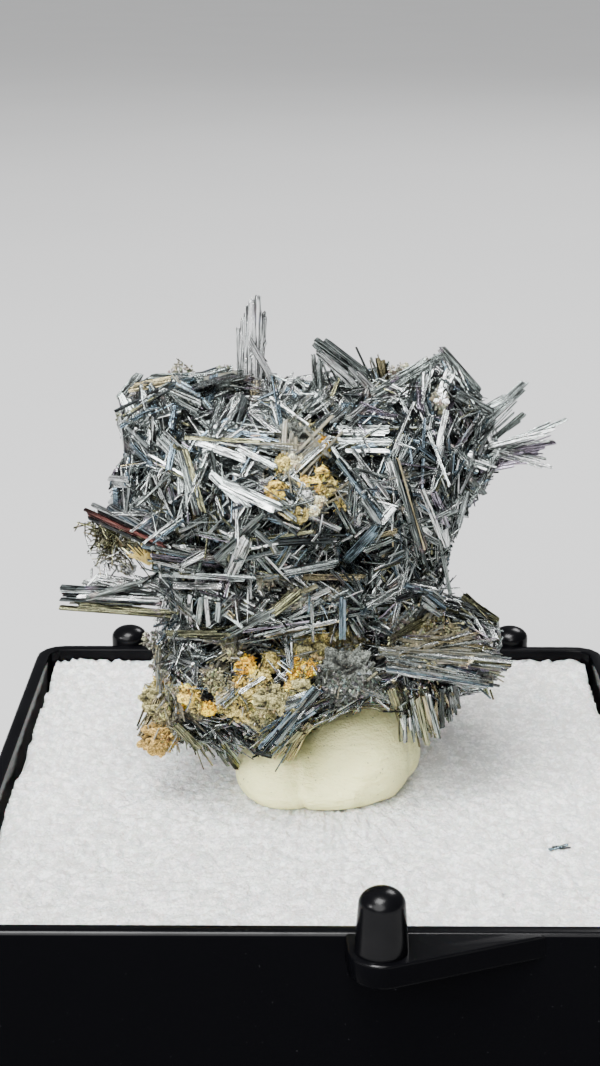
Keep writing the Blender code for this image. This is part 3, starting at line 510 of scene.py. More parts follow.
# Crusts of grains on the front of the core: (x, z), radius, grain colour.
CRUST_PATCHES = {
    "grey_mass": ((-1.2, 24.9), 0.72, "slate_crust"),
    "grey_mass_edge": ((-0.4, 25.0), 0.36, "grey_crust"),
    "pale_spot": ((-1.0, 25.2), 0.18, "cream_crust"),
    "peach_spot": ((0.0, 24.5), 0.32, "orange_crust"),
    "cream_middle": ((-1.1, 24.1), 0.36, "cream_crust"),
    "tan_left": ((-1.6, 24.0), 0.36, "tan_crust"),
    "gold_left": ((-1.9, 23.1), 0.41, "gold_crust"),
    "gold_middle": ((-0.8, 23.3), 0.27, "gold_crust"),
    "gold_right": ((-0.2, 23.2), 0.27, "gold_crust"),
    "gold_high": ((0.0, 23.6), 0.23, "gold_crust"),
    "white_mass": ((-0.6, 22.8), 0.32, "white_crust"),
    "tan_right": ((0.3, 23.0), 0.36, "tan_crust"),
    "cream_low": ((-0.1, 22.5), 0.27, "cream_crust"),
    "cream_foot": ((-0.4, 22.2), 0.27, "cream_crust"),
    "tan_foot": ((-1.1, 22.1), 0.45, "tan_crust"),
    "tan_end": ((0.8, 22.2), 0.27, "tan_crust"),
    "ledge_start": ((-7.5, 12.1), 0.72, "grey_crust"),
    "ledge_middle": ((-3.1, 13.6), 0.63, "tan_crust"),
    "ledge_centre": ((-2.2, 13.5), 0.72, "grey_crust"),
    "ledge_low": ((-2.6, 12.5), 0.63, "grey_crust"),
    "ledge_foot": ((-3.3, 12.7), 0.54, "tan_crust"),
    "ledge_under": ((-1.5, 13.4), 0.54, "grey_crust"),
    "ledge_pale": ((-4.3, 13.7), 0.32, "tan_crust"),
    "ledge_gap": ((-5.5, 12.9), 0.36, "tan_crust"),
    "ledge_right": ((-0.7, 15.2), 0.81, "grey_crust"),
    "ledge_right_high": ((-0.2, 15.6), 0.63, "tan_crust"),
    "ledge_right_low": ((-0.9, 13.9), 0.54, "grey_crust"),
    "ledge_rise": ((1.0, 15.5), 0.88, "grey_crust"),
    "ledge_end": ((3.2, 16.3), 0.70, "powder"),
    "tan_band": ((-2.2, 14.9), 0.41, "tan_crust"),
    "between_left": ((-6.5, 13.2), 0.50, "olive_powder"),
    "between_low": ((-5.6, 12.2), 0.55, "olive_powder"),
    "between_middle": ((-4.6, 14.3), 0.62, "olive_powder"),
    "between_foot": ((-4.1, 13.1), 0.50, "tan_crust"),
    "between_right": ((-2.7, 14.3), 0.45, "tan_crust"),
    "between_high": ((-3.9, 15.5), 0.55, "olive_powder"),
    "orange_middle": ((-3.3, 14.8), 0.41, "orange_crust"),
    "orange_middle_low": ((-3.5, 14.2), 0.36, "gold_crust"),
    "orange_left": ((-5.8, 13.5), 0.41, "gold_crust"),
    "orange_toe": ((-6.3, 12.3), 0.32, "orange_crust"),
    "orange_under": ((-4.9, 12.9), 0.36, "orange_crust"),
    "orange_right": ((-1.1, 14.9), 0.27, "orange_crust"),
    "orange_right_low": ((-1.2, 14.5), 0.23, "orange_crust"),
    "orange_right_foot": ((-1.4, 14.1), 0.23, "gold_crust"),
    "orange_right_end": ((-0.5, 14.7), 0.32, "orange_crust"),
    "orange_fan": ((5.1, 15.8), 0.45, "gold_powder"),
    "edge_middle": ((-7.1, 12.8), 0.54, "tan_crust"),
    "edge_upper": ((-7.2, 13.8), 0.45, "powder"),
    "edge_high": ((-7.7, 14.2), 0.54, "powder"),
    "toe_top": ((-7.4, 11.8), 0.45, "grey_crust"),
    "toe_nodule": ((-7.3, 10.7), 0.77, "brown_crust"),
    "waist_band": ((-0.9, 18.0), 0.60, "powder"),
    "waist_band_right": ((0.4, 18.0), 0.52, "powder"),
    "waist_band_left": ((-2.4, 18.7), 0.39, "powder"),
    "slate_mass": ((1.1, 14.3), 1.22, "slate_crust"),
    "cream_spot": ((6.3, 14.6), 0.40, "cream_crust"),
    "white_crumbs": ((-8.8, 17.6), 0.32, "white_crust"),
    "fan_root": ((5.2, 15.1), 1.32, "olive_powder"),
    "fan_root_left": ((4.3, 15.6), 0.88, "olive_powder"),
    "roof_left": ((-6.2, 26.7), 0.53, "powder"),
    "roof_middle": ((-4.3, 26.7), 0.44, "powder"),
    "side_high": ((3.3, 23.4), 0.34, "powder"),
    "side_middle": ((3.7, 22.1), 0.34, "powder"),
    "side_low": ((4.2, 20.2), 0.34, "powder"),
    "crown_left": ((3.4, 26.6), 0.53, "powder"),
    "crown_right": ((5.1, 26.1), 0.43, "powder"),
    "top_spot": ((0.3, 25.9), 0.35, "powder"),
}
MOUND_GRID = (44, 26)        # points round and up a mound
GRAIN_GRID = (4, 3)          # and a grain
CRUST_COLOURS = {
    "tan_crust": (0.44, 0.35, 0.11),
    "grey_crust": (0.28, 0.25, 0.11),
    "slate_crust": (0.12, 0.13, 0.115),
    "brown_crust": (0.36, 0.23, 0.06),
    "gold_crust": (0.66, 0.44, 0.09),
    "orange_crust": (0.82, 0.42, 0.03),
    "cream_crust": (0.78, 0.66, 0.40),
    "white_crust": (0.44, 0.45, 0.43),
    "powder": (0.26, 0.25, 0.19),
    "olive_powder": (0.27, 0.25, 0.14),
    "gold_powder": (0.60, 0.40, 0.10),
}
BRIGHT_CRUSTS = ("gold_crust", "orange_crust", "cream_crust", "white_crust")  # these stand out in front
LOOSE = "powder"             # a colour with this in its name is loose powder, with no mound under it
BRIGHTEST_CRUST = 0.9        # no point of a crust is paler than this
MOUND_DEPTH = 0.28           # depth of a mound as a share of its radius
MOUND_COVER = 0.06           # and this much more
MOUND_PROUD = 0.03           # how far it stands out; a bright one twice as far
MOUND_BROAD = (2.6, 0.44)    # its noise: waves a millimetre, height as a share of the radius
MOUND_FINE = (6.5, 0.22)

# Grains and hairs on a patch of one millimetre: on a mound, and in loose powder.
GRAINS_MOUND = 330
GRAINS_LOOSE = 190
GRAINS_POWER = 1.7           # their number grows with the radius to this power
GRAINS_LEAST = 15
HAIRS_MOUND = 130
HAIRS_LOOSE = 45
HAIRS_LEAST = 6
HAIR_LENGTHS = (0.15, 0.55)
HAIR_WIDTHS = (0.03, 0.07)

# Stage: softboxes (place, side), the point that they face, the wide light's spread, tilt and turn in
# degrees, and half the side of the floor.
SOFTBOXES = {
    "key": ((-50, -70, 320), 150),
    "side": ((-300, -160, 190), 80),
    "back": ((150, 300, 270), 110),
}
LIGHT_AIM = (0, 0, 17.0)
FILL_SPREAD = 50
FILL_TILT = 52
FILL_TURN = -20
FLOOR_HALF = 3000.0

# Seeds of the random draws.
SEEDS = {
    "laths": 31,
    "large_crystals": 8,
    "crossing_blades": 101,
    "fine_needles": 202,
    "fibres": 77,
    "crystal_fibres": 9,
    "crust_grains": 5,
    "crust_hairs": 6,
    "tuft": 12,
    "splinter": 4,
}


# ---------------------------------------------------------------------------------------------
# Settings shown in the sidebar
# ---------------------------------------------------------------------------------------------

def length_setting(name, millimetres, description):
    """A length in metres, given in millimetres."""
    return FloatProperty(name=name, description=description, default=millimetres * MM, min=0.0,
                         precision=5, unit='LENGTH')


def colour_setting(name, colour, description):
    """A linear RGB colour."""
    return FloatVectorProperty(name=name, description=description, default=colour, size=3,
                               min=0.0, max=1.0, subtype='COLOR')


def power_setting(name, watts, description):
    """The power of a lamp."""
    return FloatProperty(name=name, description=description, default=watts, unit='POWER')


class SpraySettings(bpy.types.PropertyGroup):
    """Sizes and colours of the crystals and their crust."""

    sheaf_count: IntProperty(name="Sheaves", description="Sheaves of crossing blades", default=4700, min=0)
    blade_length: length_setting("Blade length", 2.0, "Usual length of a crossing blade")
    blade_width: length_setting("Blade width", 0.135, "Usual width of a crossing blade")
    needle_count: IntProperty(name="Needles", description="Fine needles in the gaps", default=15000, min=0)
    needle_length: length_setting("Needle length", 1.2, "Usual length of a needle")
    needle_width: length_setting("Needle width", 0.06, "Usual width of a needle")
    core_sink: length_setting("Core depth", 1.0, "Depth of the dark core under the crystals")
    grain_size: length_setting("Grain size", 0.075, "Usual size of a crust grain")
    tuft_colour: colour_setting("Tuft colour", (0.52, 0.40, 0.11), "Colour of the fine yellow tuft")
    dust_colour: colour_setting("Dust colour", (0.30, 0.27, 0.18), "Powder on the lower crystals")
    # near-black, as painted shade in the gaps between the crystals
    core_shade_colour: colour_setting("Core colour", (0.010, 0.011, 0.012), "Dark grains between the crystals")


class MountSettings(bpy.types.PropertyGroup):
    """Sizes and colours of the putty, the foam and the box."""

    putty_colour: colour_setting("Putty colour", (0.99, 0.96, 0.47), "Cream putty")
    foam_colour: colour_setting("Foam colour", (0.94, 0.94, 0.92), "White foam")
    box_colour: colour_setting("Box colour", (0.0015, 0.0015, 0.002), "Black plastic")
    foam_grain: length_setting("Foam grain", 0.15, "Height of the foam's grains")
    rim_rounding: length_setting("Rim rounding", 0.22, "Radius of the box's rim")


class StageSettings(bpy.types.PropertyGroup):
    """Floor, lights and camera."""

    floor_colour: colour_setting("Floor colour", (0.44, 0.44, 0.44), "Pale floor")
    world_colour: colour_setting("Surroundings", (0.42, 0.43, 0.45), "Light from all round")
    world_power: FloatProperty(name="Surroundings power", default=0.50,
                               description="Strength of that light")
    key_power: power_setting("Key power", 2.5, "Softbox overhead, watts")
    side_power: power_setting("Side power", 0.8, "Softbox at the left, watts")
    back_power: power_setting("Back power", 0.9, "Softbox behind, watts")
    fill_power: FloatProperty(name="Fill power", default=5.0,
                              description="Wide light from the front, watts a square metre")
    lens: FloatProperty(name="Lens", description="Focal length in millimetres", default=62.57)


# ---------------------------------------------------------------------------------------------
# Shader expressions
# ---------------------------------------------------------------------------------------------

class Wire:
    """A node's output that can stand in a Python expression; every operator adds a Math node."""

    def __init__(self, paint, socket):
        self.paint = paint
        self.socket = socket

    def math(self, operation, first, second):
        """A Math node of two values or wires."""
        return self.paint.node("ShaderNodeMath", {"operation": operation}, {0: first, 1: second})

    def __add__(self, other):
        return self.math('ADD', self, other)

    def __sub__(self, other):
        return self.math('SUBTRACT', self, other)

    def __mul__(self, other):
        return self.math('MULTIPLY', self, other)

    def __rsub__(self, other):
        return self.math('SUBTRACT', other, self)

    __radd__ = __add__
    __rmul__ = __mul__

    def ramp(self, low, high):
        """0 below low, 1 above high, and smooth between them."""
        settings = {"interpolation_type": 'SMOOTHSTEP'}
        return self.paint.node("ShaderNodeMapRange", settings, {0: self, 1: low, 2: high})


class Paint:
    """One Principled material under construction."""

    def __init__(self, name):
        self.material = bpy.data.materials.new(name)
        self.material.use_nodes = True
        self.tree = self.material.node_tree
        self.shader = self.tree.nodes["Principled BSDF"]

    def node(self, kind, settings=None, inputs=None, output=0):
        """Add a node: its settings first, then values or links for its sockets; gives one output."""
        made = self.tree.nodes.new(kind)
        for key, value in (settings or {}).items():
            setattr(made, key, value)
        for key, value in (inputs or {}).items():
            self.feed(self.find(made.inputs, key), value)
        return Wire(self, self.find(made.outputs, output))

    @staticmethod
    def find(sockets, key):
        """A socket by place, identifier or name."""
        if isinstance(key, int):
            return sockets[key]
        for socket in sockets:
            if socket.identifier == key:
                return socket
        return sockets[key]

    def feed(self, socket, value):
        """Link a wire to a socket, or set its value."""
        if isinstance(value, Wire):
            self.tree.links.new(value.socket, socket)
        elif isinstance(value, tuple) and len(value) == 3 and socket.type == 'RGBA':
            socket.default_value = (*value, 1.0)
        else:
            socket.default_value = value

    def surface(self, **inputs):
        """Set or link the Principled shader's sockets, named with underscores for spaces."""
        for key, value in inputs.items():
            self.feed(self.shader.inputs[key.replace("_", " ")], value)
        return self.material

    def place(self):
        """The position on the piece, in millimetres."""
        place = self.node("ShaderNodeTexCoord", output="Object")
        return self.stretch(place, (1 / MM, 1 / MM, 1 / MM))

    def stretch(self, vector, factors):
        """A vector times a vector."""
        return self.node("ShaderNodeVectorMath", {"operation": 'MULTIPLY'}, {0: vector, 1: factors})

    def attribute(self, name, output="Fac"):
        """A value that the mesh carries."""
        return self.node("ShaderNodeAttribute", {"attribute_name": name}, output=output)

    def noise(self, vector, scale, detail=2.0, roughness=0.5):
        """Smooth noise, scale in cycles a millimetre."""
        return self.node("ShaderNodeTexNoise", None, {"Vector": vector, "Scale": scale, "Detail": detail,
                                                      "Roughness": roughness}, "Fac")

    def cells(self, vector, scale):
        """Distance from the middles of rounded cells, scale in cells a millimetre."""
        return self.node("ShaderNodeTexVoronoi", None, {"Vector": vector, "Scale": scale}, "Distance")

    def mix(self, share, first, second):
        """Colour first where share is 0, second where it is 1."""
        return self.node("ShaderNodeMix", {"data_type": 'RGBA'},
                         {"Factor_Float": share, "A_Color": first, "B_Color": second}, "Result_Color")

    def tone(self, colour, factor):
        """A colour times a value."""
        return self.node("ShaderNodeVectorMath", {"operation": 'SCALE'}, {0: colour, "Scale": factor})

    def bump(self, height, depth, strength=1.0):
        """A bumped normal, with its depth in millimetres."""
        return self.node("ShaderNodeBump", None, {"Height": height, "Distance": depth * MM,
                                                  "Strength": strength}, "Normal")


# ---------------------------------------------------------------------------------------------
# Shapes as whole arrays
# ---------------------------------------------------------------------------------------------

def unit(vectors):
    """Vectors divided by their lengths."""
    return vectors / np.linalg.norm(vectors, axis=-1, keepdims=True)


def smooth_noise(points, frequency, seed):
    """Value noise in -1..1: random numbers at whole-numbered lattice points, blended by smooth steps."""
    scaled = np.asarray(points) * frequency + 57.3 * seed
    corner = np.floor(scaled).astype(np.int64)
    share = scaled - corner
    share = share * share * (3 - 2 * share)
    total = 0.0
    for offset in np.ndindex(2, 2, 2):
        place = corner + np.array(offset)
        mixed = place[..., 0] * 374761393 + place[..., 1] * 668265263 + place[..., 2] * 2147483647
        mixed = (mixed ^ (mixed >> 13)) * 1274126177 & 0x7fffffff
        value = (mixed ^ (mixed >> 16)) % 65536 / 32767.5 - 1
        weight = np.prod(np.where(np.array(offset) == 1, share, 1 - share), axis=-1)
        total = total + value * weight
    return total


def rough_noise(points, frequency, seed, octaves=3):
    """Smooth noise with finer and fainter noise added on it."""
    return sum(smooth_noise(points, frequency * 2 ** k, seed + k) / 2 ** k for k in range(octaves))


def new_piece(name, points, faces, material, slot, nodes=(), smooth=False, colours=None, values=None,
              across=None):
    """Make a mesh object from points in millimetres and lists of equal-sided faces.

    colours is one RGB a point, values one number a point, across a pair of texture lengths a corner.
    """
    mesh = bpy.data.meshes.new(name)
    corners = np.concatenate([group.ravel() for group in faces]).astype(np.int32)
    sizes = np.concatenate([np.full(len(group), group.shape[1]) for group in faces])
    starts = np.concatenate(([0], np.cumsum(sizes)[:-1])).astype(np.int32)
    mesh.vertices.add(len(points))
    mesh.vertices.foreach_set("co", (np.asarray(points) * MM).astype(np.float32).ravel())
    mesh.loops.add(len(corners))
    mesh.loops.foreach_set("vertex_index", corners)
    mesh.polygons.add(len(sizes))
    mesh.polygons.foreach_set("loop_start", starts)
    mesh.update(calc_edges=True)
    mesh.polygons.foreach_set("use_smooth", np.full(len(sizes), smooth))
    if colours is not None:
        layer = mesh.attributes.new("tint", 'FLOAT_COLOR', 'POINT')
        rgba = np.concatenate((colours, np.ones((len(points), 1))), axis=1)
        layer.data.foreach_set("color", rgba.astype(np.float32).ravel())
    if values is not None:
        layer = mesh.attributes.new("dust", 'FLOAT', 'POINT')
        layer.data.foreach_set("value", np.asarray(values, np.float32))
    if across is not None:
        layer = mesh.uv_layers.new(name="grain")
        layer.uv.foreach_set("vector", np.asarray(across, np.float32).ravel())
    mesh.validate()
    mesh.materials.append(material)
    piece = bpy.data.objects.new(name, mesh)
    bpy.context.scene.collection.objects.link(piece)
    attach(piece, "root")
    if nodes:
        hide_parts(*nodes)
    return piece


def ring_faces(rings, around):
    """Quads between neighbouring rings of points, each ring closed on itself."""
    ring, step = np.meshgrid(np.arange(rings - 1), np.arange(around), indexing="ij")
    after = (step + 1) % around
    low = ring * around
    quads = np.stack((low + step, low + after, low + around + after, low + around + step), axis=-1)
    return quads.reshape(-1, 4)


def closed_skin(rings):
    """Points and faces of rings (K, M, 3) with a pole closing each end."""
    count, around, _ = rings.shape
    poles = np.stack((rings[0].mean(axis=0), rings[-1].mean(axis=0)))
    points = np.concatenate((rings.reshape(-1, 3), poles))
    step = np.arange(around)
    after = (step + 1) % around
    last = (count - 1) * around
    first_fan = np.stack((after, step, np.full(around, count * around)), axis=-1)
    last_fan = np.stack((last + step, last + after, np.full(around, count * around + 1)), axis=-1)
    return points, [ring_faces(count, around), np.concatenate((first_fan, last_fan))]


def join_skins(skins):
    """Several closed skins as one list of points and of faces."""
    points = []
    groups = {}
    base = 0
    for places, faces in skins:
        points.append(places)
        for group in faces:
            groups.setdefault(group.shape[1], []).append(group + base)
        base += len(places)
    return np.concatenate(points), [np.concatenate(group) for group in groups.values()]


def many_skins(rings):
    """Closed skins of one make, from rings (N, K, M, 3), as one list of points and of faces."""
    number = len(rings)
    _, faces = closed_skin(rings[0])
    poles = np.stack((rings[:, 0].mean(axis=1), rings[:, -1].mean(axis=1)), axis=1)
    points = np.concatenate((rings.reshape(number, -1, 3), poles), axis=1)
    base = (np.arange(number) * points.shape[1])[:, None, None]
    return points.reshape(-1, 3), [(base + group).reshape(-1, group.shape[1]) for group in faces]


def rounded_square(side, corner, around):
    """Points round a square: straight sides joined by quarter circles, evenly spaced by length."""
    straight = side - 2 * corner
    quarter = math.pi / 2 * corner
    total = 4 * (straight + quarter)
    run = (np.arange(around) + 0.5) / around * total
    part, along = np.divmod(run, straight + quarter)
    on_side = along < straight
    turn = np.where(on_side, 0.0, (along - straight) / corner)
    x = np.where(on_side, along - straight / 2, straight / 2 + corner * np.sin(turn))
    y = np.where(on_side, -side / 2, -side / 2 + corner - corner * np.cos(turn))
    angle = part * math.pi / 2
    return np.stack((x * np.cos(angle) - y * np.sin(angle),
                     x * np.sin(angle) + y * np.cos(angle)), axis=-1)


def level_ring(ring, height):
    """Points (x, y) of a ring, all at one height."""
    return np.concatenate((ring, np.full((len(ring), 1), height)), axis=1)


def turned(profile, x, y, around):
    """A closed skin: the (radius, height) profile turned about the upright line at (x, y)."""
    angle = np.arange(around) / around * 2 * math.pi
    radius, height = np.array(profile).T
    rings = np.stack((x + radius[:, None] * np.cos(angle), y + radius[:, None] * np.sin(angle),
                      np.broadcast_to(height[:, None], (len(radius), around))), axis=-1)
    return closed_skin(rings)


def ball_directions(around, levels):
    """Directions of a ball on a (level, around) grid, from down to up, with its poles left out."""
    polar = (np.arange(levels) + 0.5) / levels * math.pi
    turn = np.arange(around) / around * 2 * math.pi
    return np.stack((np.sin(polar)[:, None] * np.cos(turn), np.sin(polar)[:, None] * np.sin(turn),
                     np.broadcast_to(-np.cos(polar)[:, None], (levels, around))), axis=-1)


def lump_level(points):
    """How deep points lie in the joined lumps: under 1 inside, 1 on the surface, over 1 outside."""
    away = (points[..., None, :] - LUMP_CENTRES) / LUMP_RADII
    return (away ** 2).sum(axis=-1).min(axis=-1)


def front_depth(x, z):
    """The Y of the front of the joined lumps: the foremost ellipsoid, or the nearest lump's middle."""
    reach = ((x[..., None] - LUMP_CENTRES[:, 0]) / LUMP_RADII[:, 0]) ** 2
    reach = reach + ((z[..., None] - LUMP_CENTRES[:, 2]) / LUMP_RADII[:, 2]) ** 2
    depth = LUMP_CENTRES[:, 1] - LUMP_RADII[:, 1] * np.sqrt(np.clip(1 - reach, 0, None))
    foremost = np.where(reach < 1, depth, np.inf).min(axis=-1)
    nearest = np.take_along_axis(depth, reach.argmin(axis=-1)[..., None], axis=-1)[..., 0]
    return np.where(np.isfinite(foremost), foremost, nearest)


def inside_outline(points):
    """Whether points, carried along the line of sight from EYE to the outline's plane, fall inside it.

    A point is inside if a level ray from it crosses the outline's edges an odd number of times.
    """
    share = (OUTLINE_PLANE - EYE[1]) / (points[:, 1] - EYE[1])
    x, z = (EYE + (points - EYE) * share[:, None])[:, [0, 2]].T
    start, end = OUTLINE, np.roll(OUTLINE, -1, axis=0)
    straddles = (start[:, 1] > z[:, None]) != (end[:, 1] > z[:, None])
    rise = end[:, 1] - start[:, 1]
    rise = np.where(rise == 0, 1.0, rise)
    crossing = start[:, 0] + (end[:, 0] - start[:, 0]) * (z[:, None] - start[:, 1]) / rise
    return (straddles & (x[:, None] < crossing)).sum(axis=1) % 2 == 1


def thinned(points):
    """Whether points lie on the front inside one of the places that are kept thin."""
    centres = np.array([centre for centre, _ in THINNED])
    radii = np.array([radius for _, radius in THINNED])
    away = np.linalg.norm(points[:, None, [0, 2]] - centres, axis=-1)
    return (away < radii).any(axis=1) & (points[:, 1] < 0)


def surface_places(count, chance):
    """Random places on the outside of the joined lumps and their outward normals, even by area.

    Each ellipsoid is centre + radii * direction; a direction is kept in step with the area it stands for.
    """
    areas = (LUMP_RADII ** 1.6).prod(axis=1) ** (2 / 4.8)
    found = []
    while sum(len(places) for places, _ in found) < count:
        pick = chance.choice(len(LUMP_RADII), size=4 * count, p=areas / areas.sum())
        direction = unit(chance.normal(size=(4 * count, 3)))
        radii = LUMP_RADII[pick]
        slope = direction / radii
        stretch = radii.prod(axis=1) * np.linalg.norm(slope, axis=1) / areas[pick]
        places = LUMP_CENTRES[pick] + direction * radii
        kept = chance.random(4 * count) * 1.6 < stretch
        kept &= lump_level(places) > 0.985
        found.append((places[kept], unit(slope[kept])))
    places = np.concatenate([pair[0] for pair in found])[:count]
    normals = np.concatenate([pair[1] for pair in found])[:count]
    return places, normals


def lath_section(corners, flatness, ridge=0.0):
    """A flat section with pointed sides; every second point stands in by ridge to make grooves."""
    angle = (np.arange(corners) + 0.5) / corners * 2 * math.pi
    shape = np.stack((np.cos(angle), flatness * np.sign(np.sin(angle)) * np.abs(np.sin(angle)) ** 0.6), -1)
    inset = 1 - ridge * (np.arange(corners) % 2)
    shape[:, 1] *= inset
    return shape


def blade_skin(roots, tips, widths, outward, section, chance, bevelled=False):
    """Straight crystals as one mesh: a section carried from root to tip, its ends cut askew.

    Point = root + axis * along + side * sx * width / 2 + normal * sy * width / 2. The ends slope by a
    random slant, and a bevelled crystal has one more ring, drawn in, that makes a chisel tip.
    """
    axis_line = tips - roots
    length = np.linalg.norm(axis_line, axis=1)
    axis = axis_line / length[:, None]
    normal = outward - axis * (outward * axis).sum(axis=1, keepdims=True)
    normal = unit(normal + 1e-6 * chance.normal(size=normal.shape))
    side = np.cross(normal, axis)
    count, corners = len(roots), len(section)
    rings = 3 if bevelled else 2
    shares = np.ones((count, rings, 2))
    along = np.stack((np.zeros(count), length), axis=1)
    if bevelled:
        bevel = np.minimum(chance.uniform(*BEVEL_LENGTHS, count) * widths, 0.3 * length)
        along = np.stack((np.zeros(count), length - bevel, length), axis=1)
    shares[:, -1] = BEVELLED_TIP if bevelled else PLAIN_TIP
    half = widths / 2
    sx = section[:, 0] * half[:, None, None] * shares[:, :, None, 0]
    sy = section[:, 1] * half[:, None, None] * shares[:, :, None, 1]
    slope = chance.uniform(-END_SLANT, END_SLANT, (count, rings, 1))
    slope[:, -2] = slope[:, -1] * 0.9 if bevelled else slope[:, -2]
    shift = along[:, :, None] + slope * (sx + 0.4 * sy)
    points = (roots[:, None, None] + axis[:, None, None] * shift[..., None]
              + side[:, None, None] * sx[..., None] + normal[:, None, None] * sy[..., None])
    quads = ring_faces(rings, corners)
    base = (np.arange(count) * rings * corners)[:, None, None]
    ring = np.arange(corners)
    ends = np.stack((ring[::-1], (rings - 1) * corners + ring))
    faces = [(base + quads[None]).reshape(-1, 4), (base + ends[None]).reshape(-1, corners)]
    girth = np.linalg.norm(np.roll(section, -1, axis=0) - section, axis=1)
    reach = np.concatenate(([0], np.cumsum(girth)))
    offset = chance.uniform(0, 300, count)
    u_low = reach[:-1][None] * half[:, None] + offset[:, None]
    u_high = reach[1:][None] * half[:, None] + offset[:, None]
    grid = np.empty((count, rings - 1, corners, 4, 2))
    grid[..., 0, 0] = grid[..., 3, 0] = u_low[:, None]
    grid[..., 1, 0] = grid[..., 2, 0] = u_high[:, None]
    grid[..., 0, 1] = grid[..., 1, 1] = along[:, :-1, None]
    grid[..., 2, 1] = grid[..., 3, 1] = along[:, 1:, None]
    caps = np.empty((count, 2, corners, 2))
    caps[..., 0] = (section[:, 0] * half[:, None])[:, None] + offset[:, None, None]
    caps[..., 1] = (section[:, 1] * half[:, None])[:, None]
    across = np.concatenate((grid.reshape(-1, 2), caps.reshape(-1, 2)))
    return points.reshape(-1, 3), faces, across


def per_blade(values, corners, rings):
    """One value a blade, repeated for all its points."""
    return np.repeat(values, rings * corners, axis=0)


def patch_dust(points):
    """Powder on crystals, 0..1: most near the crusts, a little more in the lower half."""
    centres = np.array([place for place, _, _ in CRUST_PATCHES.values()])
    radii = np.array([radius for _, radius, _ in CRUST_PATCHES.values()])
    away = np.linalg.norm(points[:, None, [0, 2]] - centres, axis=-1) / (radii * DUST_REACH)
    near = np.exp(-away ** 2).max(axis=1) * np.clip(1 - points[:, 1] / 3, 0, 1)
    low = np.clip((DUST_BELOW - points[:, 2]) / DUST_FADE, 0, 1) * DUST_LOW
    wander = DUST_WANDER * rough_noise(points, 0.45, 3, 2)
    return np.clip(near * DUST_BY_CRUSTS + low + wander, 0, 1)


def felt_tints(chance, dusty, shallow):
    """A tint for each crossing blade: steel where clean, olive and tan where dusty, and painted darker when
    deep as painted shade.
    """
    clean, powdery = np.array(list(SHEAF_TINTS.values())).T
    weights = clean + (powdery - clean) * dusty[:, None]
    pick = (np.cumsum(weights, axis=1) / weights.sum(axis=1, keepdims=True)
            < chance.random((len(dusty), 1))).sum(axis=1)
    palette = np.array([TINTS[name] for name in SHEAF_TINTS])
    # painted shade: a sheaf that lies deeper in the spray is painted darker
    depth_painted_shade = 0.45 + 0.60 * shallow[:, None]
    return palette[pick] * chance.uniform(0.7, 1.2, (len(dusty), 1)) * depth_painted_shade


# ---------------------------------------------------------------------------------------------
# Finishes
# ---------------------------------------------------------------------------------------------

def stibnite_finish(dust_colour):
    """Striated metal: stripes along each blade, painted light and dark in turn as painted sheen and shade
    of the grooves, tarnish in soft patches, and powder where dust says.
    """
    paint = Paint("striated_stibnite")
    grain = paint.node("ShaderNodeUVMap", {"uv_map": "grain"})
    stripes = paint.noise(paint.stretch(grain, (13.0, 0.5, 1.0)), 1.0, 3.0, 0.65)
    scratches = paint.noise(paint.stretch(grain, (46.0, 0.8, 1.0)), 1.0, 2.0, 0.6)
    place = paint.place()
    patches = paint.noise(place, 0.9, 3.0, 0.6)
    powder_grain = paint.noise(place, 9.0, 4.0, 0.7)
    dust = (paint.attribute("dust") * 1.5 + powder_grain - 1.0).ramp(0.0, 0.5)
    tint = paint.attribute("tint", "Color")
    # painted sheen and shade: the stripes' bright and dark bands stand for grooves that catch and lose the
    # light
    stripe_sheen_painted = paint.tone(tint, 0.07 + 1.5 * stripes.ramp(0.40, 0.62))
    film = paint.noise(place, 1.6, 2.0) + 0.3 * stripes
    tarnish = paint.node("ShaderNodeValToRGB", None, {"Fac": film}, "Color")
    stops = tarnish.socket.node.color_ramp.elements
    stops[0].position = 0.30
    stops[0].color = (0.30, 0.42, 0.66, 1.0)
    stops[1].position = 0.75
    stops[1].color = (0.66, 0.48, 0.40, 1.0)
    middle = stops.new(0.52)
    middle.color = (0.56, 0.44, 0.66, 1.0)
    metal = paint.mix(patches.ramp(0.58, 0.74) * 0.25, stripe_sheen_painted, tarnish)
    powder = paint.tone(dust_colour, 0.6 + 0.9 * powder_grain)
    roughness = 0.13 + 0.22 * scratches + 0.5 * dust
    height = stripes * 0.7 + scratches * 0.3 + powder_grain * dust
    return paint.surface(Base_Color=paint.mix(dust * 0.85, metal, powder), Roughness=roughness,
                         Metallic=1.0 - 0.8 * dust, Normal=paint.bump(height, 0.09, 1.0))


def core_finish(colour):
    """Grains of broken blades deep between the crystals, painted near-black as the shade in the gaps
    between them.
    """
    paint = Paint("dark_core")
    place = paint.place()
    grains = paint.cells(place, 7.0)
    tone = paint.tone(colour, 0.5 + 1.6 * grains)
    return paint.surface(Base_Color=tone, Roughness=0.55, Metallic=0.4,
                         Normal=paint.bump(grains, 0.10, 0.9))


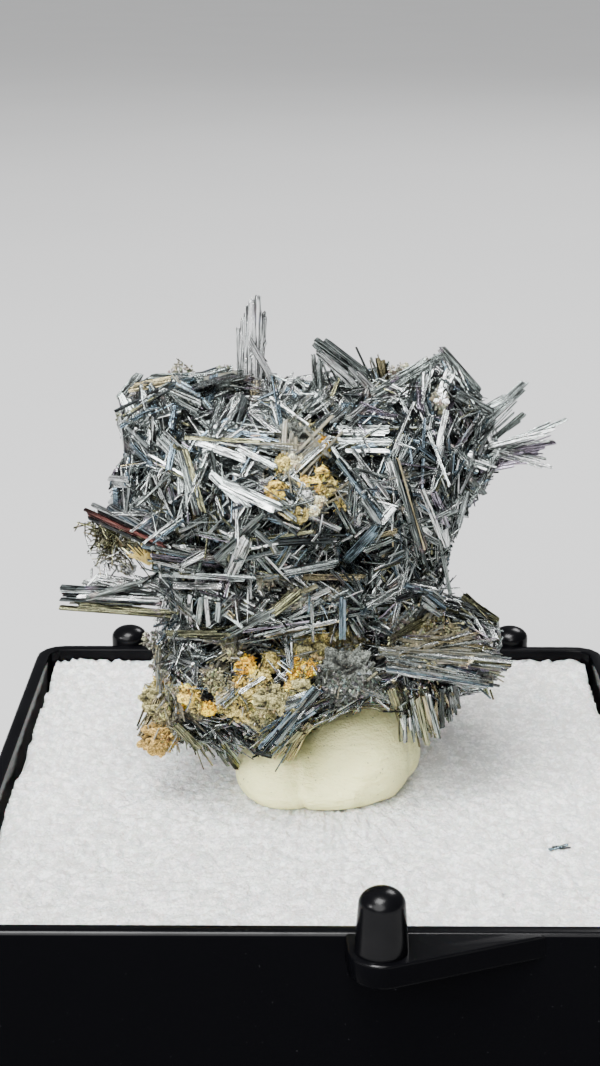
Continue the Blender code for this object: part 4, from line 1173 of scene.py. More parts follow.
def crust_finish():
    """Spongy earth: the colour that each point carries, made paler on the raised grains and darker between
    them as painted light and shade, speckled pale and dark, with deep pores.
    """
    paint = Paint("earthy_crust")
    place = paint.place()
    pores = paint.cells(place, 6.5)
    grains = paint.noise(place, 14.0, 4.0, 0.75)
    fine = paint.noise(place, 42.0, 2.0, 0.6)
    speckle = paint.noise(place, 9.0, 3.0, 0.7)
    # painted light and shade: the grain noise that raises the bump also makes the raised grains paler and
    # the dips between them darker
    light = 0.15 + 1.6 * grains.ramp(0.38, 0.64) + 0.3 * fine
    colour = paint.tone(paint.attribute("tint", "Color"), light)
    colour = paint.mix(speckle.ramp(0.60, 0.70) * 0.30, colour, (0.60, 0.54, 0.36))
    colour = paint.mix((1.0 - speckle).ramp(0.56, 0.68) * 0.75, colour, (0.03, 0.028, 0.024))
    return paint.surface(Base_Color=colour, Roughness=0.70 + 0.25 * fine, Specular_IOR_Level=0.25,
                         Normal=paint.bump(grains * 0.6 + fine * 0.25 - pores * 0.6, 0.10, 1.0))


def tuft_finish(colour):
    """Fine yellow needles with a silky shine."""
    paint = Paint("yellow_tuft")
    glow = paint.noise(paint.place(), 5.0)
    return paint.surface(Base_Color=paint.tone(colour, 0.7 + 0.8 * glow), Roughness=0.42)


def putty_finish(colour):
    """Soft cream putty: faint mottling, finger marks, and a few dark specks."""
    paint = Paint("cream_putty")
    place = paint.place()
    mottle = paint.noise(place, 0.8, 3.0)
    skin = paint.noise(place, 7.0, 3.0, 0.6)
    kneading = paint.noise(paint.stretch(place, (1.1, 1.1, 3.2)), 1.0, 4.0, 0.6)
    specks = paint.noise(place, 5.5, 2.0, 0.5).ramp(0.70, 0.76)
    shaded = paint.tone(colour, 0.88 + 0.16 * mottle + 0.06 * skin)
    return paint.surface(Base_Color=paint.mix(specks * 0.85, shaded, (0.10, 0.095, 0.075)),
                         Roughness=0.46 + 0.18 * skin, Subsurface_Weight=0.25, Subsurface_Scale=0.6 * MM,
                         Subsurface_Radius=(1.0, 0.7, 0.4),
                         Normal=paint.bump(skin * 0.25 + kneading - specks * 0.3, 0.20, 1.0))


def foam_finish(colour):
    """White foam: fine crumbs, some of them glossy, with pale grey painted on in blotches as painted shade
    of the hollows between them.
    """
    paint = Paint("white_foam")
    place = paint.place()
    crumbs = paint.cells(place, 6.0)
    fine = paint.noise(place, 11.0, 4.0, 0.75)
    clumps = paint.noise(place, 2.2, 5.0, 0.7)
    # painted shade: pale grey blotches stand for the hollows between the crumbs
    hollow = (clumps * 0.9 + fine * 0.4 + crumbs * 0.2).ramp(0.60, 0.84)
    shaded = paint.mix(hollow * 0.85, colour, (0.56, 0.57, 0.55))
    glints = paint.noise(place, 5.0, 2.0).ramp(0.60, 0.70)
    height = fine * 0.8 + clumps - crumbs * 0.4
    return paint.surface(Base_Color=shaded, Roughness=0.62 - 0.34 * glints, Subsurface_Weight=0.2,
                         Subsurface_Scale=0.5 * MM, Normal=paint.bump(height, 0.12, 1.0))


def box_finish(colour):
    """Black plastic with faint smears and a little dust, handled to a polish where dust says."""
    paint = Paint("black_plastic")
    place = paint.place()
    smears = paint.noise(place, 0.35, 4.0, 0.6)
    lint = paint.noise(place, 6.0, 2.0).ramp(0.74, 0.80)
    polish = paint.attribute("dust") * (0.10 + 0.30 * smears)
    return paint.surface(Base_Color=paint.mix(lint * 0.3, colour, (0.05, 0.05, 0.055)),
                         Roughness=0.10 + 0.16 * smears + 0.3 * lint, Specular_IOR_Level=0.012,
                         Coat_Weight=polish, Coat_Roughness=0.25,
                         Normal=paint.bump(paint.noise(place, 0.25, 2.0), 0.02, 0.25))


def floor_finish(colour):
    """Plain pale floor."""
    paint = Paint("pale_floor")
    cloud = paint.noise(paint.place(), 0.02, 2.0)
    return paint.surface(Base_Color=paint.tone(colour, 0.97 + 0.06 * cloud), Roughness=0.8)


# ---------------------------------------------------------------------------------------------
# Pieces
# ---------------------------------------------------------------------------------------------

def box_skins(rim_rounding):
    """The tray, its catch lug and post, and the two hinge pegs, as closed skins.

    The tray is a wall profile (inset, height) carried round a rounded square: each ring is the square of
    side BOX_SIDE - 2 * inset.
    """
    floor_run = [(inset, 0.0) for inset in (14.0, 8.0, 3.0, 0.6, 0.25)]
    outer = [(0.06, 0.08), (0.0, 0.3), (0.0, 3.0), (0.0, RIM_HEIGHT - rim_rounding)]
    rim = [(rim_rounding * (1 - math.cos(a)), RIM_HEIGHT - rim_rounding * (1 - math.sin(a)))
           for a in np.radians((15, 35, 60, 90))]
    inner = [(WALL - INNER_ROUNDING, RIM_HEIGHT),
             (WALL - 0.3 * INNER_ROUNDING, RIM_HEIGHT - 0.3 * INNER_ROUNDING),
             (WALL, RIM_HEIGHT - INNER_ROUNDING), (WALL, 4.0), (WALL, FLOOR + 0.3), (WALL + 0.3, FLOOR)]
    inside = [(inset, FLOOR) for inset in (3.0, 8.0, 14.0)]
    profile = floor_run + outer + rim + inner + inside
    rings = []
    for inset, height in profile:
        side = BOX_SIDE - 2 * inset
        corner = max(BOX_CORNER - inset, 0.4) if side > 4 else side * 0.3
        rings.append(level_ring(rounded_square(side, corner, BOX_AROUND), height))
    skins = [closed_skin(np.array(rings))]
    foot = RIM_HEIGHT - POST_SUNK
    post = [(POST_FOOT_RADIUS * 0.8, foot), (POST_FOOT_RADIUS, foot + 0.1), (POST_FOOT_RADIUS, RIM_HEIGHT)]
    post += dome(POST_TOP_RADIUS, RIM_HEIGHT + POST_HEIGHT, POST_DOME)
    skins.append(turned(post, POST_X, POST_Y, POST_AROUND))
    for side in (-1, 1):
        peg = [(HINGE_RADIUS * 0.8, HINGE_FOOT), (HINGE_RADIUS, HINGE_FOOT + 0.15)]
        peg += dome(HINGE_RADIUS, HINGE_TOP, HINGE_DOME)
        skins.append(turned(peg, side * HINGE_X, HINGE_Y, PEG_AROUND))
    skins.append(lug_skin())
    return join_skins(skins)


def dome(radius, top, height):
    """Profile of a flattened dome: (radius cos a, top - height + height sin a), its pole left out."""
    angle = np.radians(np.linspace(0, 82, 10))
    return [(radius * math.cos(a), top - height + height * math.sin(a)) for a in angle]


def lug_skin():
    """The thin flange round the post's foot: an outline scaled in a little at its rounded edges."""
    arc = np.radians(np.linspace(*LUG_NOSE_ARC, 24))
    nose = (POST_X, POST_Y) + LUG_NOSE_RADIUS * np.stack((np.cos(arc), np.sin(arc)), axis=-1)
    run_out = np.linspace(nose[-1], (LUG_RIGHT, FRONT - 0.02), 12)[1:]
    back = np.linspace((LUG_RIGHT, FRONT + LUG_ROOT), (LUG_LEFT, FRONT + LUG_ROOT), 12)
    outline = np.concatenate((nose, run_out, back, [(LUG_LEFT, FRONT - LUG_SHOULDER)]))
    middle = outline.mean(axis=0)
    top = RIM_HEIGHT - LUG_STEP
    bottom = top - LUG_THICKNESS
    levels = ((bottom, 0.95), (bottom + 0.04, 0.985), (bottom + 0.12, 1.0),
              (top - 0.12, 1.0), (top - 0.04, 0.985), (top, 0.95))
    rings = [level_ring(middle + (outline - middle) * share, height) for height, share in levels]
    return closed_skin(np.array(rings))


def foam_skin(grain):
    """The pad: rounded squares of growing side make the top, then run down the sides to the bottom.

    Height of the top = FOAM_TOP plus crumb noise; the edge is worn by the same noise.
    """
    side = FOAM_HIGH[0] - FOAM_LOW[0]
    shares = np.linspace(0.008, 1.0, FOAM_RINGS) ** 0.9
    rings = []
    for share in shares:
        ring = rounded_square(side * share, max(FOAM_CORNER * share, 0.05), FOAM_AROUND)
        rings.append(level_ring(ring, FOAM_TOP))
    for drop in (0.25, 0.6, 2.0, FOAM_TOP - FLOOR - FOAM_GAP):
        rings.append(level_ring(ring, FOAM_TOP - drop))
    for share in (0.5, 0.1):
        rings.append(level_ring(ring * share, FLOOR + FOAM_GAP))
    rings = np.array(rings)
    top = rings[:FOAM_RINGS]
    crumbs = np.abs(rough_noise(top, 2.6, 11, 3))
    edge = np.clip((shares[:, None] - FOAM_EDGE_FROM) / (1 - FOAM_EDGE_FROM), 0, 1)
    wear = np.clip(0.4 + rough_noise(top, 0.9, 17, 3), 0, 1) * edge ** 2
    back = np.clip(2 * top[..., 1] / side - FOAM_SWELL_FROM, 0, 1) / (1 - FOAM_SWELL_FROM)
    top[..., 2] += FOAM_SWELL * back ** 2
    top[..., 2] -= grain * 1.6 * crumbs + FOAM_WEAR * wear * (1 - back)
    top[..., 2] += 0.05 * rough_noise(top, 0.35, 5, 2)
    rings[FOAM_RINGS:FOAM_RINGS + 3, :, :2] *= 0.995
    return closed_skin(rings[::-1])


def putty_skin():
    """The putty: from its heart outwards, the furthest way out of its lumps, blended smoothly.

    For each direction d the way out of an ellipsoid is the larger root of |(heart + t d - c) / r| = 1.
    """
    directions = ball_directions(*PUTTY_GRID)
    heart = np.array(PUTTY_HEART)
    ways = []
    for centre, radii in PUTTY_LUMPS.values():
        offset = (heart - np.array(centre)) / radii
        slope = directions / np.array(radii)
        a = (slope ** 2).sum(axis=-1)
        b = (slope * offset).sum(axis=-1)
        c = (offset ** 2).sum() - 1
        inside = np.clip(b * b - a * c, 0, None)
        ways.append(np.clip((-b + np.sqrt(inside)) / a, 0.2, None))
    reach = (np.array(ways) ** PUTTY_BLEND).sum(axis=0) ** (1 / PUTTY_BLEND)
    points = heart + directions * reach[..., None]
    reach = reach + 0.10 * rough_noise(points, 0.7, 21, 2) + 0.02 * rough_noise(points, 2.4, 9, 2)
    crease_x, crease_z, slope = PUTTY_CREASE
    away = (points[..., 0] - crease_x - slope * (points[..., 2] - crease_z)) / PUTTY_CREASE_WIDTH
    reach = reach - PUTTY_CREASE_DEPTH * np.exp(-away ** 2) * (points[..., 1] < 0)
    points = heart + directions * reach[..., None]
    points[..., 2] += PUTTY_RISE * np.clip((points[..., 2] - heart[2]) / 2.5, 0, 1)
    low = FOAM_TOP - PUTTY_UNDER_FOAM
    points[..., 2] = low + np.logaddexp(0, (points[..., 2] - low) * PUTTY_FLATNESS) / PUTTY_FLATNESS
    return closed_skin(points)


def core_skin(sink):
    """The core: every lump as its own knobbed ellipsoid, pushed in and out by rough noise."""
    directions = ball_directions(*CORE_GRID)
    skins = []
    for number, (centre, radii) in enumerate(CORE_LUMPS.values()):
        shrunk = np.array(radii) - sink
        points = np.array(centre) + directions * shrunk
        push = CORE_KNOBS * rough_noise(points, 1.1, number, 3)
        skins.append(closed_skin(points + directions * push[..., None]))
    return join_skins(skins)


def lying_ends(start, end):
    """Both ends of a lying crystal: a straight line held LYING_LIFT clear of the front of the lumps."""
    x = np.linspace(start[0], end[0], 5)
    z = np.linspace(start[1], end[1], 5)
    depth = front_depth(x, z)
    line = np.linspace(depth[0], depth[-1], 5)
    line = line - (line - depth).max() - LYING_LIFT
    return np.array((x[0], line[0], z[0])), np.array((x[-1], line[-1], z[-1]))


def listed_rows():
    """Every listed crystal by group, as (root, tip, width, laths, tint) in three dimensions."""
    groups = {}
    for name, rows in STANDING.items():
        groups[name] = []
        for root, tip, width, laths, tint in rows:
            root, tip = np.array(root), np.array(tip)
            groups[name].append((root - unit(tip - root) * ROOT_SUNK, tip, width, laths, tint))
    for name, rows in LEANING.items():
        groups[name] = [(*[end + unit(EYE - end) * LEANING_LIFT for end in np.array((root, tip))], *rest)
                        for root, tip, *rest in rows]
    for name, rows in LYING.items():
        groups[name] = [(*lying_ends(start, end), *rest) for start, end, *rest in rows]
    return groups


def lath_tint(tint, lath):
    """The colour of one lath of a crystal: its tint, or the next of its tints in turn."""
    return np.array(TINTS[tint if isinstance(tint, str) else tint[lath % len(tint)]])


def listed_crystals():
    """Roots, tips, widths and tints of the laths of all listed crystals.

    A row's crystal is split across its width into laths; each starts and ends a little apart.
    """
    chance = np.random.default_rng(SEEDS["laths"])
    roots, tips, widths, tints = [], [], [], []
    for root, tip, width, laths, tint in [row for rows in listed_rows().values() for row in rows]:
        axis = unit(tip - root)
        side = unit(np.cross((0.0, -1.0, 0.15), axis))
        normal = np.cross(axis, side)
        length = np.linalg.norm(tip - root)
        for lath in range(laths):
            place = (lath + 0.5) / laths - 0.5
            shift = side * place * width + normal * chance.normal(0, LATH_JITTER * width)
            cut = 0.0 if lath == laths // 2 else chance.uniform(0.0, LATH_CUT) * length
            roots.append(root + shift * 0.85)
            tips.append(tip + shift - axis * cut)
            widths.append(width / laths * chance.uniform(*LATH_OVERLAP))
            tints.append(lath_tint(tint, lath) * chance.uniform(*LATH_SHADES))
    return np.array(roots), np.array(tips), np.array(widths), np.array(tints)


def crossing_sheaves(count, usual_length, usual_width, seed):
    """Blades in sheaves of one to six that almost share a direction, thrown over the core's surface.

    A sheaf lies along a random tangent with a slight rise, at a random depth; its blades stand side by
    side a width apart, slipped along each other. They are finer in the lower part, and those that would
    pass the outline or reach the foam are left out.
    """
    chance = np.random.default_rng(seed)
    places, normals = surface_places(count, chance)
    tangent = unit(np.cross(normals, chance.normal(size=(count, 3))))
    direction = unit(tangent + normals * chance.normal(0.02, 0.22, (count, 1)))
    depth = chance.uniform(*SHEAF_DEPTH, count)
    laths = chance.choice(list(SHEAF_LATHS), size=count, p=list(SHEAF_LATHS.values()))
    sheaf = np.repeat(np.arange(count), laths)
    order = np.concatenate([np.arange(number) for number in laths]) - np.repeat(laths - 1, laths) / 2
    total = len(sheaf)
    fineness = 1 - FINER_BY * np.clip((FINE_BELOW - places[:, 2]) / 2.0, 0, 1)
    sheaf_length = usual_length * fineness * np.exp(chance.normal(0, SHEAF_SPREAD[0], count))
    sheaf_width = usual_width * fineness * np.exp(chance.normal(0, SHEAF_SPREAD[1], count))
    width = sheaf_width[sheaf] * chance.uniform(0.7, 1.2, total)
    length = sheaf_length[sheaf] * chance.uniform(0.65, 1.1, total)
    side = np.cross(normals, direction)[sheaf]
    axis = unit(direction[sheaf] + chance.normal(0, 0.045, (total, 3)))
    middle = (places + normals * depth[:, None])[sheaf]
    middle = middle + side * (order * sheaf_width[sheaf] * 0.95)[:, None]
    middle = middle + normals[sheaf] * chance.normal(0, 0.05, (total, 1))
    middle = middle + axis * (length * chance.uniform(-0.25, 0.25, total))[:, None]
    roots = middle - axis * (length / 2)[:, None]
    tips = middle + axis * (length / 2)[:, None]
    facing = unit(normals[sheaf] + chance.normal(0, 0.5, (total, 3)))
    kept = np.minimum(roots[:, 2], tips[:, 2]) > FOAM_TOP + SHEAF_CLEARANCE
    for share in (-0.46, -0.2, 0.2, 0.46):
        kept &= inside_outline(middle + (tips - roots) * share)
    kept &= ~(thinned(middle) & (chance.random(total) < THINNED_SHARE))
    dusty = patch_dust(middle)
    # how far out a sheaf lies, which sets how dark its painted shade is
    shallow = (depth[sheaf] - SHEAF_DEPTH[0]) / (SHEAF_DEPTH[1] - SHEAF_DEPTH[0])
    tints = felt_tints(chance, dusty, shallow)
    return (roots[kept], tips[kept], width[kept], facing[kept], tints[kept], dusty[kept], chance)


def group_fibres():
    """Roots, tips, widths and tints of thin fibres between the listed crystals of a group.

    A fibre is a blend of two crystals of its group: root = mix of their roots, tip = mix of their tips,
    by one random share, with a stray added and random lengths cut off both ends.
    """
    chance = np.random.default_rng(SEEDS["fibres"])
    groups = listed_rows()
    groups["whole_fan"] = sum((groups[name] for name in WHOLE_FAN), [])
    parts = []
    for name, (number, widths, stray) in FIBRES.items():
        ends = np.array([(root, tip) for root, tip, *_ in groups[name]]) + (0.0, FIBRE_SINK, 0.0)
        tints = np.array([lath_tint(tint, row) for row, (*_, tint) in enumerate(groups[name])])
        if name == "whole_fan":
            ends[:, 1] = ends[:, 0] * (1 - WHOLE_FAN_REACH) + ends[:, 1] * WHOLE_FAN_REACH
        first, second = chance.integers(0, len(ends), (2, number))
        share = chance.random((number, 1, 1))
        both = ends[first] * (1 - share) + ends[second] * share
        start, end = both[:, 0], both[:, 1]
        start = start + chance.normal(0, 0.6 * stray, (number, 3))
        end = end + chance.normal(0, stray, (number, 3))
        run = end - start
        lows = chance.uniform(*FIBRE_STARTS, (number, 1))
        highs = chance.uniform(*FIBRE_STOPS, (number, 1))
        colour = tints[first] * chance.uniform(*FIBRE_SHADES, (number, 1))
        parts.append((start + run * lows, start + run * highs, chance.uniform(*widths, number), colour))
    return [np.concatenate(column) for column in zip(*parts)]


def mound_places(x, z, radius, number, chance):
    """Random places on a mound over the front of the lumps.

    y = front of the lumps - radius * MOUND_DEPTH * (1 - r^2) - MOUND_COVER, give or take a little noise,
    at the share r of the way out of the mound's middle.
    """
    share = np.sqrt(chance.random(number)) * chance.uniform(0.75, 1.12, number)
    turn = chance.uniform(0, 2 * math.pi, number)
    px = x + radius * share * np.cos(turn)
    pz = z + radius * share * np.sin(turn) * 0.9
    rise = radius * MOUND_DEPTH * (1 - share ** 2) + MOUND_COVER
    rise = rise - 0.12 * np.abs(chance.normal(size=number))
    middle = front_depth(np.array([x]), np.array([z]))
    py = np.minimum(front_depth(px, pz), middle + 0.6 * radius) - rise
    return np.stack((px, py, pz), axis=-1)


def crust_mounds():
    """One spongy mound a patch: a flat ellipsoid on the front of the lumps, pushed along its directions.

    Point = centre + direction * radii * (1 + broad noise + fine noise); the tint follows the same noise, so
    the hollows are painted dark as painted shade and the knobs paler as painted light.
    """
    grid = ball_directions(*MOUND_GRID)
    rings, tints = [], []
    for number, ((x, z), radius, colour) in enumerate(CRUST_PATCHES.values()):
        if LOOSE in colour:
            continue
        front = front_depth(np.array([x]), np.array([z]))[0]
        centre = np.array((x, front - MOUND_PROUD * (1 + (colour in BRIGHT_CRUSTS)), z))
        broad = rough_noise(centre + grid * radius, MOUND_BROAD[0], number, 2)
        fine = rough_noise(centre + grid * radius, MOUND_FINE[0], number + 90, 2)
        push = MOUND_BROAD[1] * broad + MOUND_FINE[1] * fine
        flat = (1.0, MOUND_DEPTH + MOUND_COVER / radius, 0.85)
        rings.append(centre + grid * (1 + push[..., None]) * radius * flat)
        # painted shade and light: darker where the mound is pushed in, paler where it is pushed out
        tone = np.clip(0.85 + 1.3 * broad + 1.9 * fine, 0.06, 1.5).ravel()
        tone = np.concatenate((tone, [0.7, 0.7]))
        tints.append(np.clip(np.array(CRUST_COLOURS[colour]) * tone[:, None], 0, BRIGHTEST_CRUST))
    return many_skins(np.array(rings)), np.concatenate(tints)


def crust_parts(grain_size):
    """Loose grains and short hairs of every crust patch.

    Gives the grains' (points, faces) and tints, and the hairs' roots, tips and tints.
    """
    chance = np.random.default_rng(SEEDS["crust_grains"])
    grain_grid = ball_directions(*GRAIN_GRID)
    spots, sizes, tints, roots, tips, hair_tints = [], [], [], [], [], []
    for (x, z), radius, colour in CRUST_PATCHES.values():
        tint = np.array(CRUST_COLOURS[colour])
        grains, hairs = (GRAINS_LOOSE, HAIRS_LOOSE) if LOOSE in colour else (GRAINS_MOUND, HAIRS_MOUND)
        number = int(grains * radius ** GRAINS_POWER) + GRAINS_LEAST
        places = mound_places(x, z, radius, number, chance)
        spots.append(places + (0.0, -0.03, 0.0))
        sizes.append(grain_size * np.exp(np.clip(chance.normal(-0.15, 0.5, number), -1.2, 0.6)))
        shades = np.exp(chance.normal(-0.25, 0.7, (number, 1))) * chance.uniform(0.85, 1.15, (number, 3))
        tints.append(np.clip(tint * shades, 0, BRIGHTEST_CRUST))
        number = int(hairs * radius) + HAIRS_LEAST
        places = mound_places(x, z, radius, number, chance)
        way = unit(chance.normal(size=(number, 3)) * (1.0, 0.45, 1.0) + (0.0, -0.35, 0.0))
        length = chance.uniform(*HAIR_LENGTHS, (number, 1))
        roots.append(places - way * length * 0.4)
        tips.append(places + way * length * 0.6)
        shades = chance.uniform(0.15, 1.7, (number, 1))
        hair_tints.append(np.clip(tint * shades, 0, BRIGHTEST_CRUST))
    sizes = np.concatenate(sizes)[:, None, None, None]
    rough = 1 + 0.3 * chance.normal(size=(len(sizes), *GRAIN_GRID[::-1], 1))
    stretch = chance.uniform(0.5, 1.2, (len(sizes), 1, 1, 3))
    grains = np.concatenate(spots)[:, None, None] + grain_grid * rough * sizes * stretch
    grain_tints = np.repeat(np.concatenate(tints), math.prod(GRAIN_GRID) + 2, axis=0)
    return ((many_skins(grains), grain_tints),
            (np.concatenate(roots), np.concatenate(tips), np.concatenate(hair_tints)))


# ---------------------------------------------------------------------------------------------
# Operators
# ---------------------------------------------------------------------------------------------

def spray_piece(name, points, faces, material, **layers):
    """A piece that stands for the mineral's solid."""
    return new_piece(name, points, faces, material, "stibnite", ["stibnite_spray"], **layers)


class PieceOperator:
    """What every piece's operator shares."""

    bl_options = {'REGISTER', 'UNDO'}

    def execute(self, context):
        """Make the piece and raise an error if it has no points."""
        for piece in self.make(context.scene):
            if not len(piece.data.vertices):
                raise RuntimeError(f"{piece.name} came out empty")
        return {'FINISHED'}


class SPECIMEN_OT_box(PieceOperator, bpy.types.Operator):
    """Mould the black box base with its rim, catch post and hinge pegs"""

    bl_idname = "specimen.box"
    bl_label = "Box base"

    def make(self, scene):
        settings = scene.specimen_mount
        points, faces = box_skins(settings.rim_rounding / MM)
        material = box_finish(tuple(settings.box_colour))
        polish = np.clip((points[:, 2] - RIM_HEIGHT + POLISH_BELOW_RIM) / POLISH_FADE, 0, 1)
        piece = new_piece("box_shell", points, faces, material, "black_plastic", ["box_base"], smooth=True,
                          values=polish)
        piece.data.set_sharp_from_angle(angle=math.radians(35))
        return [piece]


class SPECIMEN_OT_foam(PieceOperator, bpy.types.Operator):
    """Cut the white foam pad with its crumbly top and edges"""

    bl_idname = "specimen.foam"
    bl_label = "Foam pad"

    def make(self, scene):
        settings = scene.specimen_mount
        points, faces = foam_skin(settings.foam_grain / MM)
        material = foam_finish(tuple(settings.foam_colour))
        return [new_piece("foam_pad", points, faces, material, "white_foam", ["foam_insert"], smooth=True)]


class SPECIMEN_OT_putty(PieceOperator, bpy.types.Operator):
    """Press the cream putty"""

    bl_idname = "specimen.putty"
    bl_label = "Mineral putty"

    def make(self, scene):
        points, faces = putty_skin()
        material = putty_finish(tuple(scene.specimen_mount.putty_colour))
        return [new_piece("putty_lump", points, faces, material, "cream_putty", ["mineral_putty"],
                          smooth=True)]


class SPECIMEN_OT_core(PieceOperator, bpy.types.Operator):
    """Make the dark core that shows between the crystals"""

    bl_idname = "specimen.core"
    bl_label = "Dark core"

    def make(self, scene):
        settings = scene.specimen_spray
        points, faces = core_skin(settings.core_sink / MM)
        material = core_finish(tuple(settings.core_shade_colour))
        return [spray_piece("spray_core", points, faces, material)]


class SPECIMEN_OT_crystals(PieceOperator, bpy.types.Operator):
    """Grow all crystals: the listed ones, the crossing sheaves, the needles and the fibre fans"""

    bl_idname = "specimen.crystals"
    bl_label = "Crystals"

    def make(self, scene):
        settings = scene.specimen_spray
        material = stibnite_finish(tuple(settings.dust_colour))

        # the listed crystals; the paler one is, the more it faces up into the light
        chance = np.random.default_rng(SEEDS["large_crystals"])
        roots, tips, widths, tints = listed_crystals()
        lean = 0.05 + 0.70 * tints.mean(axis=1, keepdims=True)
        facing = unit((0.0, -1.0, 0.0) + lean * (0.0, 0.0, 1.0) + chance.normal(0, 0.10, (len(roots), 3)))
        dusty = patch_dust((roots + tips) / 2) * 0.6
        section = lath_section(12, flatness=0.45, ridge=0.12)
        pieces = [self.grow("large_crystals", section, material, roots, tips, widths, facing, tints, dusty,
                            chance, bevelled=True)]

        for name, count, length, width, flatness in (
                ("crossing_blades", settings.sheaf_count, settings.blade_length, settings.blade_width, 0.6),
                ("fine_needles", settings.needle_count // 3, settings.needle_length, settings.needle_width,
                 0.8)):
            section = lath_section(4, flatness)
            sheaves = crossing_sheaves(count, length / MM, width / MM, SEEDS[name])
            pieces.append(self.grow(name, section, material, *sheaves))

        chance = np.random.default_rng(SEEDS["crystal_fibres"])
        roots, tips, widths, tints = group_fibres()
        facing = unit(chance.normal(size=roots.shape) + (0, -0.8, 0.3))
        dusty = patch_dust((roots + tips) / 2)
        pieces.append(self.grow("crystal_fibres", lath_section(4, flatness=0.7), material, roots, tips,
                                widths, facing, tints, dusty, chance))
        return pieces

    @staticmethod
    def grow(name, section, material, roots, tips, widths, facing, tints, dusty, chance, bevelled=False):
        """One piece of many crystals."""
        points, faces, across = blade_skin(roots, tips, widths, facing, section, chance, bevelled)
        make = (len(section), 3 if bevelled else 2)
        return spray_piece(name, points, faces, material, colours=per_blade(tints, *make),
                           values=per_blade(dusty, *make), across=across)


class SPECIMEN_OT_crust(PieceOperator, bpy.types.Operator):
    """Lay the ochre, tan and grey crust on the core and the ledge"""

    bl_idname = "specimen.crust"
    bl_label = "Earthy crust"

    def make(self, scene):
        material = crust_finish()
        grains, hairs = crust_parts(scene.specimen_spray.grain_size / MM)
        pieces = []
        for name, ((points, faces), tints) in (("crust_mounds", crust_mounds()), ("crust_grains", grains)):
            pieces.append(spray_piece(name, points, faces, material, colours=tints))
        chance = np.random.default_rng(SEEDS["crust_hairs"])
        roots, tips, tints = hairs
        section = lath_section(4, flatness=0.8)
        facing = unit(chance.normal(size=roots.shape))
        widths = chance.uniform(*HAIR_WIDTHS, len(roots))
        points, faces, across = blade_skin(roots, tips, widths, facing, section, chance)
        pieces.append(spray_piece("crust_hairs", points, faces, material,
                                  colours=per_blade(tints, len(section), 2), across=across))
        return pieces


class SPECIMEN_OT_tuft(PieceOperator, bpy.types.Operator):
    """Grow the fine yellow tuft in the hollow at the left"""

    bl_idname = "specimen.tuft"
    bl_label = "Yellow tuft"

    def make(self, scene):
        chance = np.random.default_rng(SEEDS["tuft"])
        roots = np.array(TUFT_ROOT) + chance.normal(0, TUFT_SPREAD, (TUFT_NEEDLES, 3))
        ways = chance.normal(0, 1, (TUFT_NEEDLES, 3)) * (0.85, 0.25, 0.30) + (0.0, -0.30, 0.90)
        tips = roots + unit(ways) * chance.uniform(*TUFT_LENGTHS, (TUFT_NEEDLES, 1))
        widths = chance.uniform(*TUFT_WIDTHS, TUFT_NEEDLES)
        facing = unit(chance.normal(size=roots.shape))
        section = lath_section(4, flatness=0.9)
        points, faces, across = blade_skin(roots, tips, widths, facing, section, chance)
        material = tuft_finish(tuple(scene.specimen_spray.tuft_colour))
        return [spray_piece("yellow_tuft", points, faces, material, across=across)]


class SPECIMEN_OT_splinter(PieceOperator, bpy.types.Operator):
    """Drop the loose splinter on the foam"""

    bl_idname = "specimen.splinter"
    bl_label = "Loose splinter"

    def make(self, scene):
        chance = np.random.default_rng(SEEDS["splinter"])
        roots, tips, widths, tints = zip(*SPLINTER)
        foam = (0.0, 0.0, FOAM_TOP)
        section = lath_section(8, flatness=0.5, ridge=0.1)
        facing = np.tile((0.0, 0.0, 1.0), (len(SPLINTER), 1))
        points, faces, across = blade_skin(np.array(roots) + foam, np.array(tips) + foam, np.array(widths),
                                           facing, section, chance, bevelled=True)
        tints = per_blade(np.array([TINTS[tint] for tint in tints]), len(section), 3)
        material = stibnite_finish(tuple(scene.specimen_spray.dust_colour))
        return [new_piece("loose_splinter", points, faces, material, "stibnite", colours=tints,
                          values=np.zeros(len(points)), across=across)]


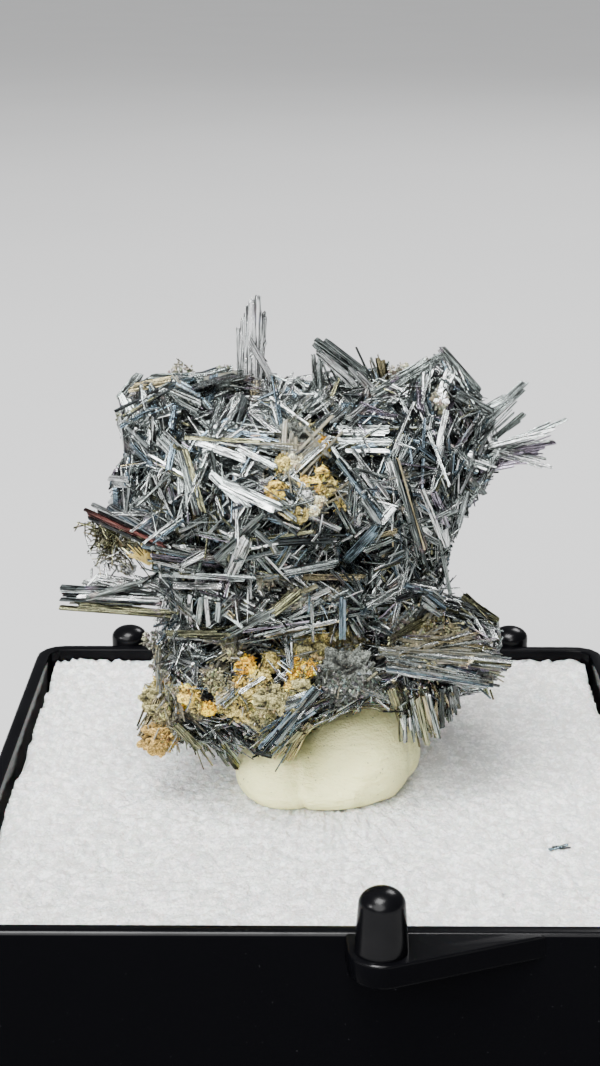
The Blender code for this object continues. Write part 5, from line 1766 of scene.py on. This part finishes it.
class SPECIMEN_OT_stage(bpy.types.Operator):
    """Set the pale floor, the soft lights and the camera"""

    bl_idname = "specimen.stage"
    bl_label = "Stage"
    bl_options = {'REGISTER', 'UNDO'}

    def execute(self, context):
        scene = context.scene
        settings = scene.specimen_stage
        corners = np.array([(-1, -1, 0), (1, -1, 0), (1, 1, 0), (-1, 1, 0)]) * FLOOR_HALF
        mesh = bpy.data.meshes.new("floor")
        mesh.from_pydata((corners * MM).tolist(), [], [(0, 1, 2, 3)])
        mesh.materials.append(floor_finish(tuple(settings.floor_colour)))
        floor = bpy.data.objects.new("floor", mesh)
        scene.collection.objects.link(floor)

        for name, (place, side) in SOFTBOXES.items():
            self.softbox(scene, f"{name}_softbox", place, side, getattr(settings, f"{name}_power"))

        fill = bpy.data.lights.new("front_fill", 'SUN')
        fill.energy = settings.fill_power
        fill.angle = math.radians(FILL_SPREAD)
        lamp = bpy.data.objects.new("front_fill", fill)
        lamp.rotation_euler = Euler((math.radians(FILL_TILT), 0, math.radians(FILL_TURN)))
        scene.collection.objects.link(lamp)

        world = bpy.data.worlds.new("studio")
        world.use_nodes = True
        glow = world.node_tree.nodes["Background"].inputs
        glow["Color"].default_value = (*settings.world_colour, 1.0)
        glow["Strength"].default_value = settings.world_power
        scene.world = world

        lens = bpy.data.cameras.new("camera")
        lens.lens = settings.lens
        lens.clip_start = 1 * MM
        camera = bpy.data.objects.new("camera", lens)
        camera.location = EYE * MM
        camera.rotation_euler = Euler((math.radians(90 - EYE_TILT), 0, math.radians(EYE_TURN)))
        scene.collection.objects.link(camera)
        scene.camera = camera
        return {'FINISHED'}

    @staticmethod
    def softbox(scene, name, place, side, power):
        """A square area light that faces the specimen."""
        light = bpy.data.lights.new(name, 'AREA')
        light.shape = 'SQUARE'
        light.size = side * MM
        light.energy = power
        lamp = bpy.data.objects.new(name, light)
        lamp.location = np.array(place) * MM
        aim = np.array(LIGHT_AIM) - np.array(place)
        lamp.rotation_euler = Euler((math.atan2(math.hypot(aim[0], aim[1]), -aim[2]), 0,
                                     math.atan2(-aim[0], aim[1])))
        scene.collection.objects.link(lamp)


class SPECIMEN_PT_panel(bpy.types.Panel):
    """Lists the pieces and their settings"""

    bl_label = "Stibnite specimen"
    bl_space_type = 'VIEW_3D'
    bl_region_type = 'UI'
    bl_category = "Specimen"

    def draw(self, context):
        for operator in OPERATORS:
            self.layout.operator(operator.bl_idname)
        for group in SETTINGS:
            settings = getattr(context.scene, group)
            box = self.layout.box()
            for key in settings.__annotations__:
                box.prop(settings, key)


OPERATORS = (
    SPECIMEN_OT_stage,
    SPECIMEN_OT_box,
    SPECIMEN_OT_foam,
    SPECIMEN_OT_putty,
    SPECIMEN_OT_core,
    SPECIMEN_OT_crystals,
    SPECIMEN_OT_crust,
    SPECIMEN_OT_tuft,
    SPECIMEN_OT_splinter,
)
SETTINGS = {
    "specimen_spray": SpraySettings,
    "specimen_mount": MountSettings,
    "specimen_stage": StageSettings,
}


def register():
    """Register the settings, the operators and the panel."""
    for group in SETTINGS.values():
        bpy.utils.register_class(group)
    for name, group in SETTINGS.items():
        setattr(bpy.types.Scene, name, PointerProperty(type=group))
    for operator in OPERATORS:
        bpy.utils.register_class(operator)
    bpy.utils.register_class(SPECIMEN_PT_panel)


def unregister():
    """Take them away again."""
    bpy.utils.unregister_class(SPECIMEN_PT_panel)
    for operator in reversed(OPERATORS):
        bpy.utils.unregister_class(operator)
    for name, group in SETTINGS.items():
        delattr(bpy.types.Scene, name)
        bpy.utils.unregister_class(group)


def main():
    """Make the stage and every piece."""
    register()
    for operator in OPERATORS:
        group, name = operator.bl_idname.split(".")
        getattr(getattr(bpy.ops, group), name)()


if __name__ == "__main__":
    main()
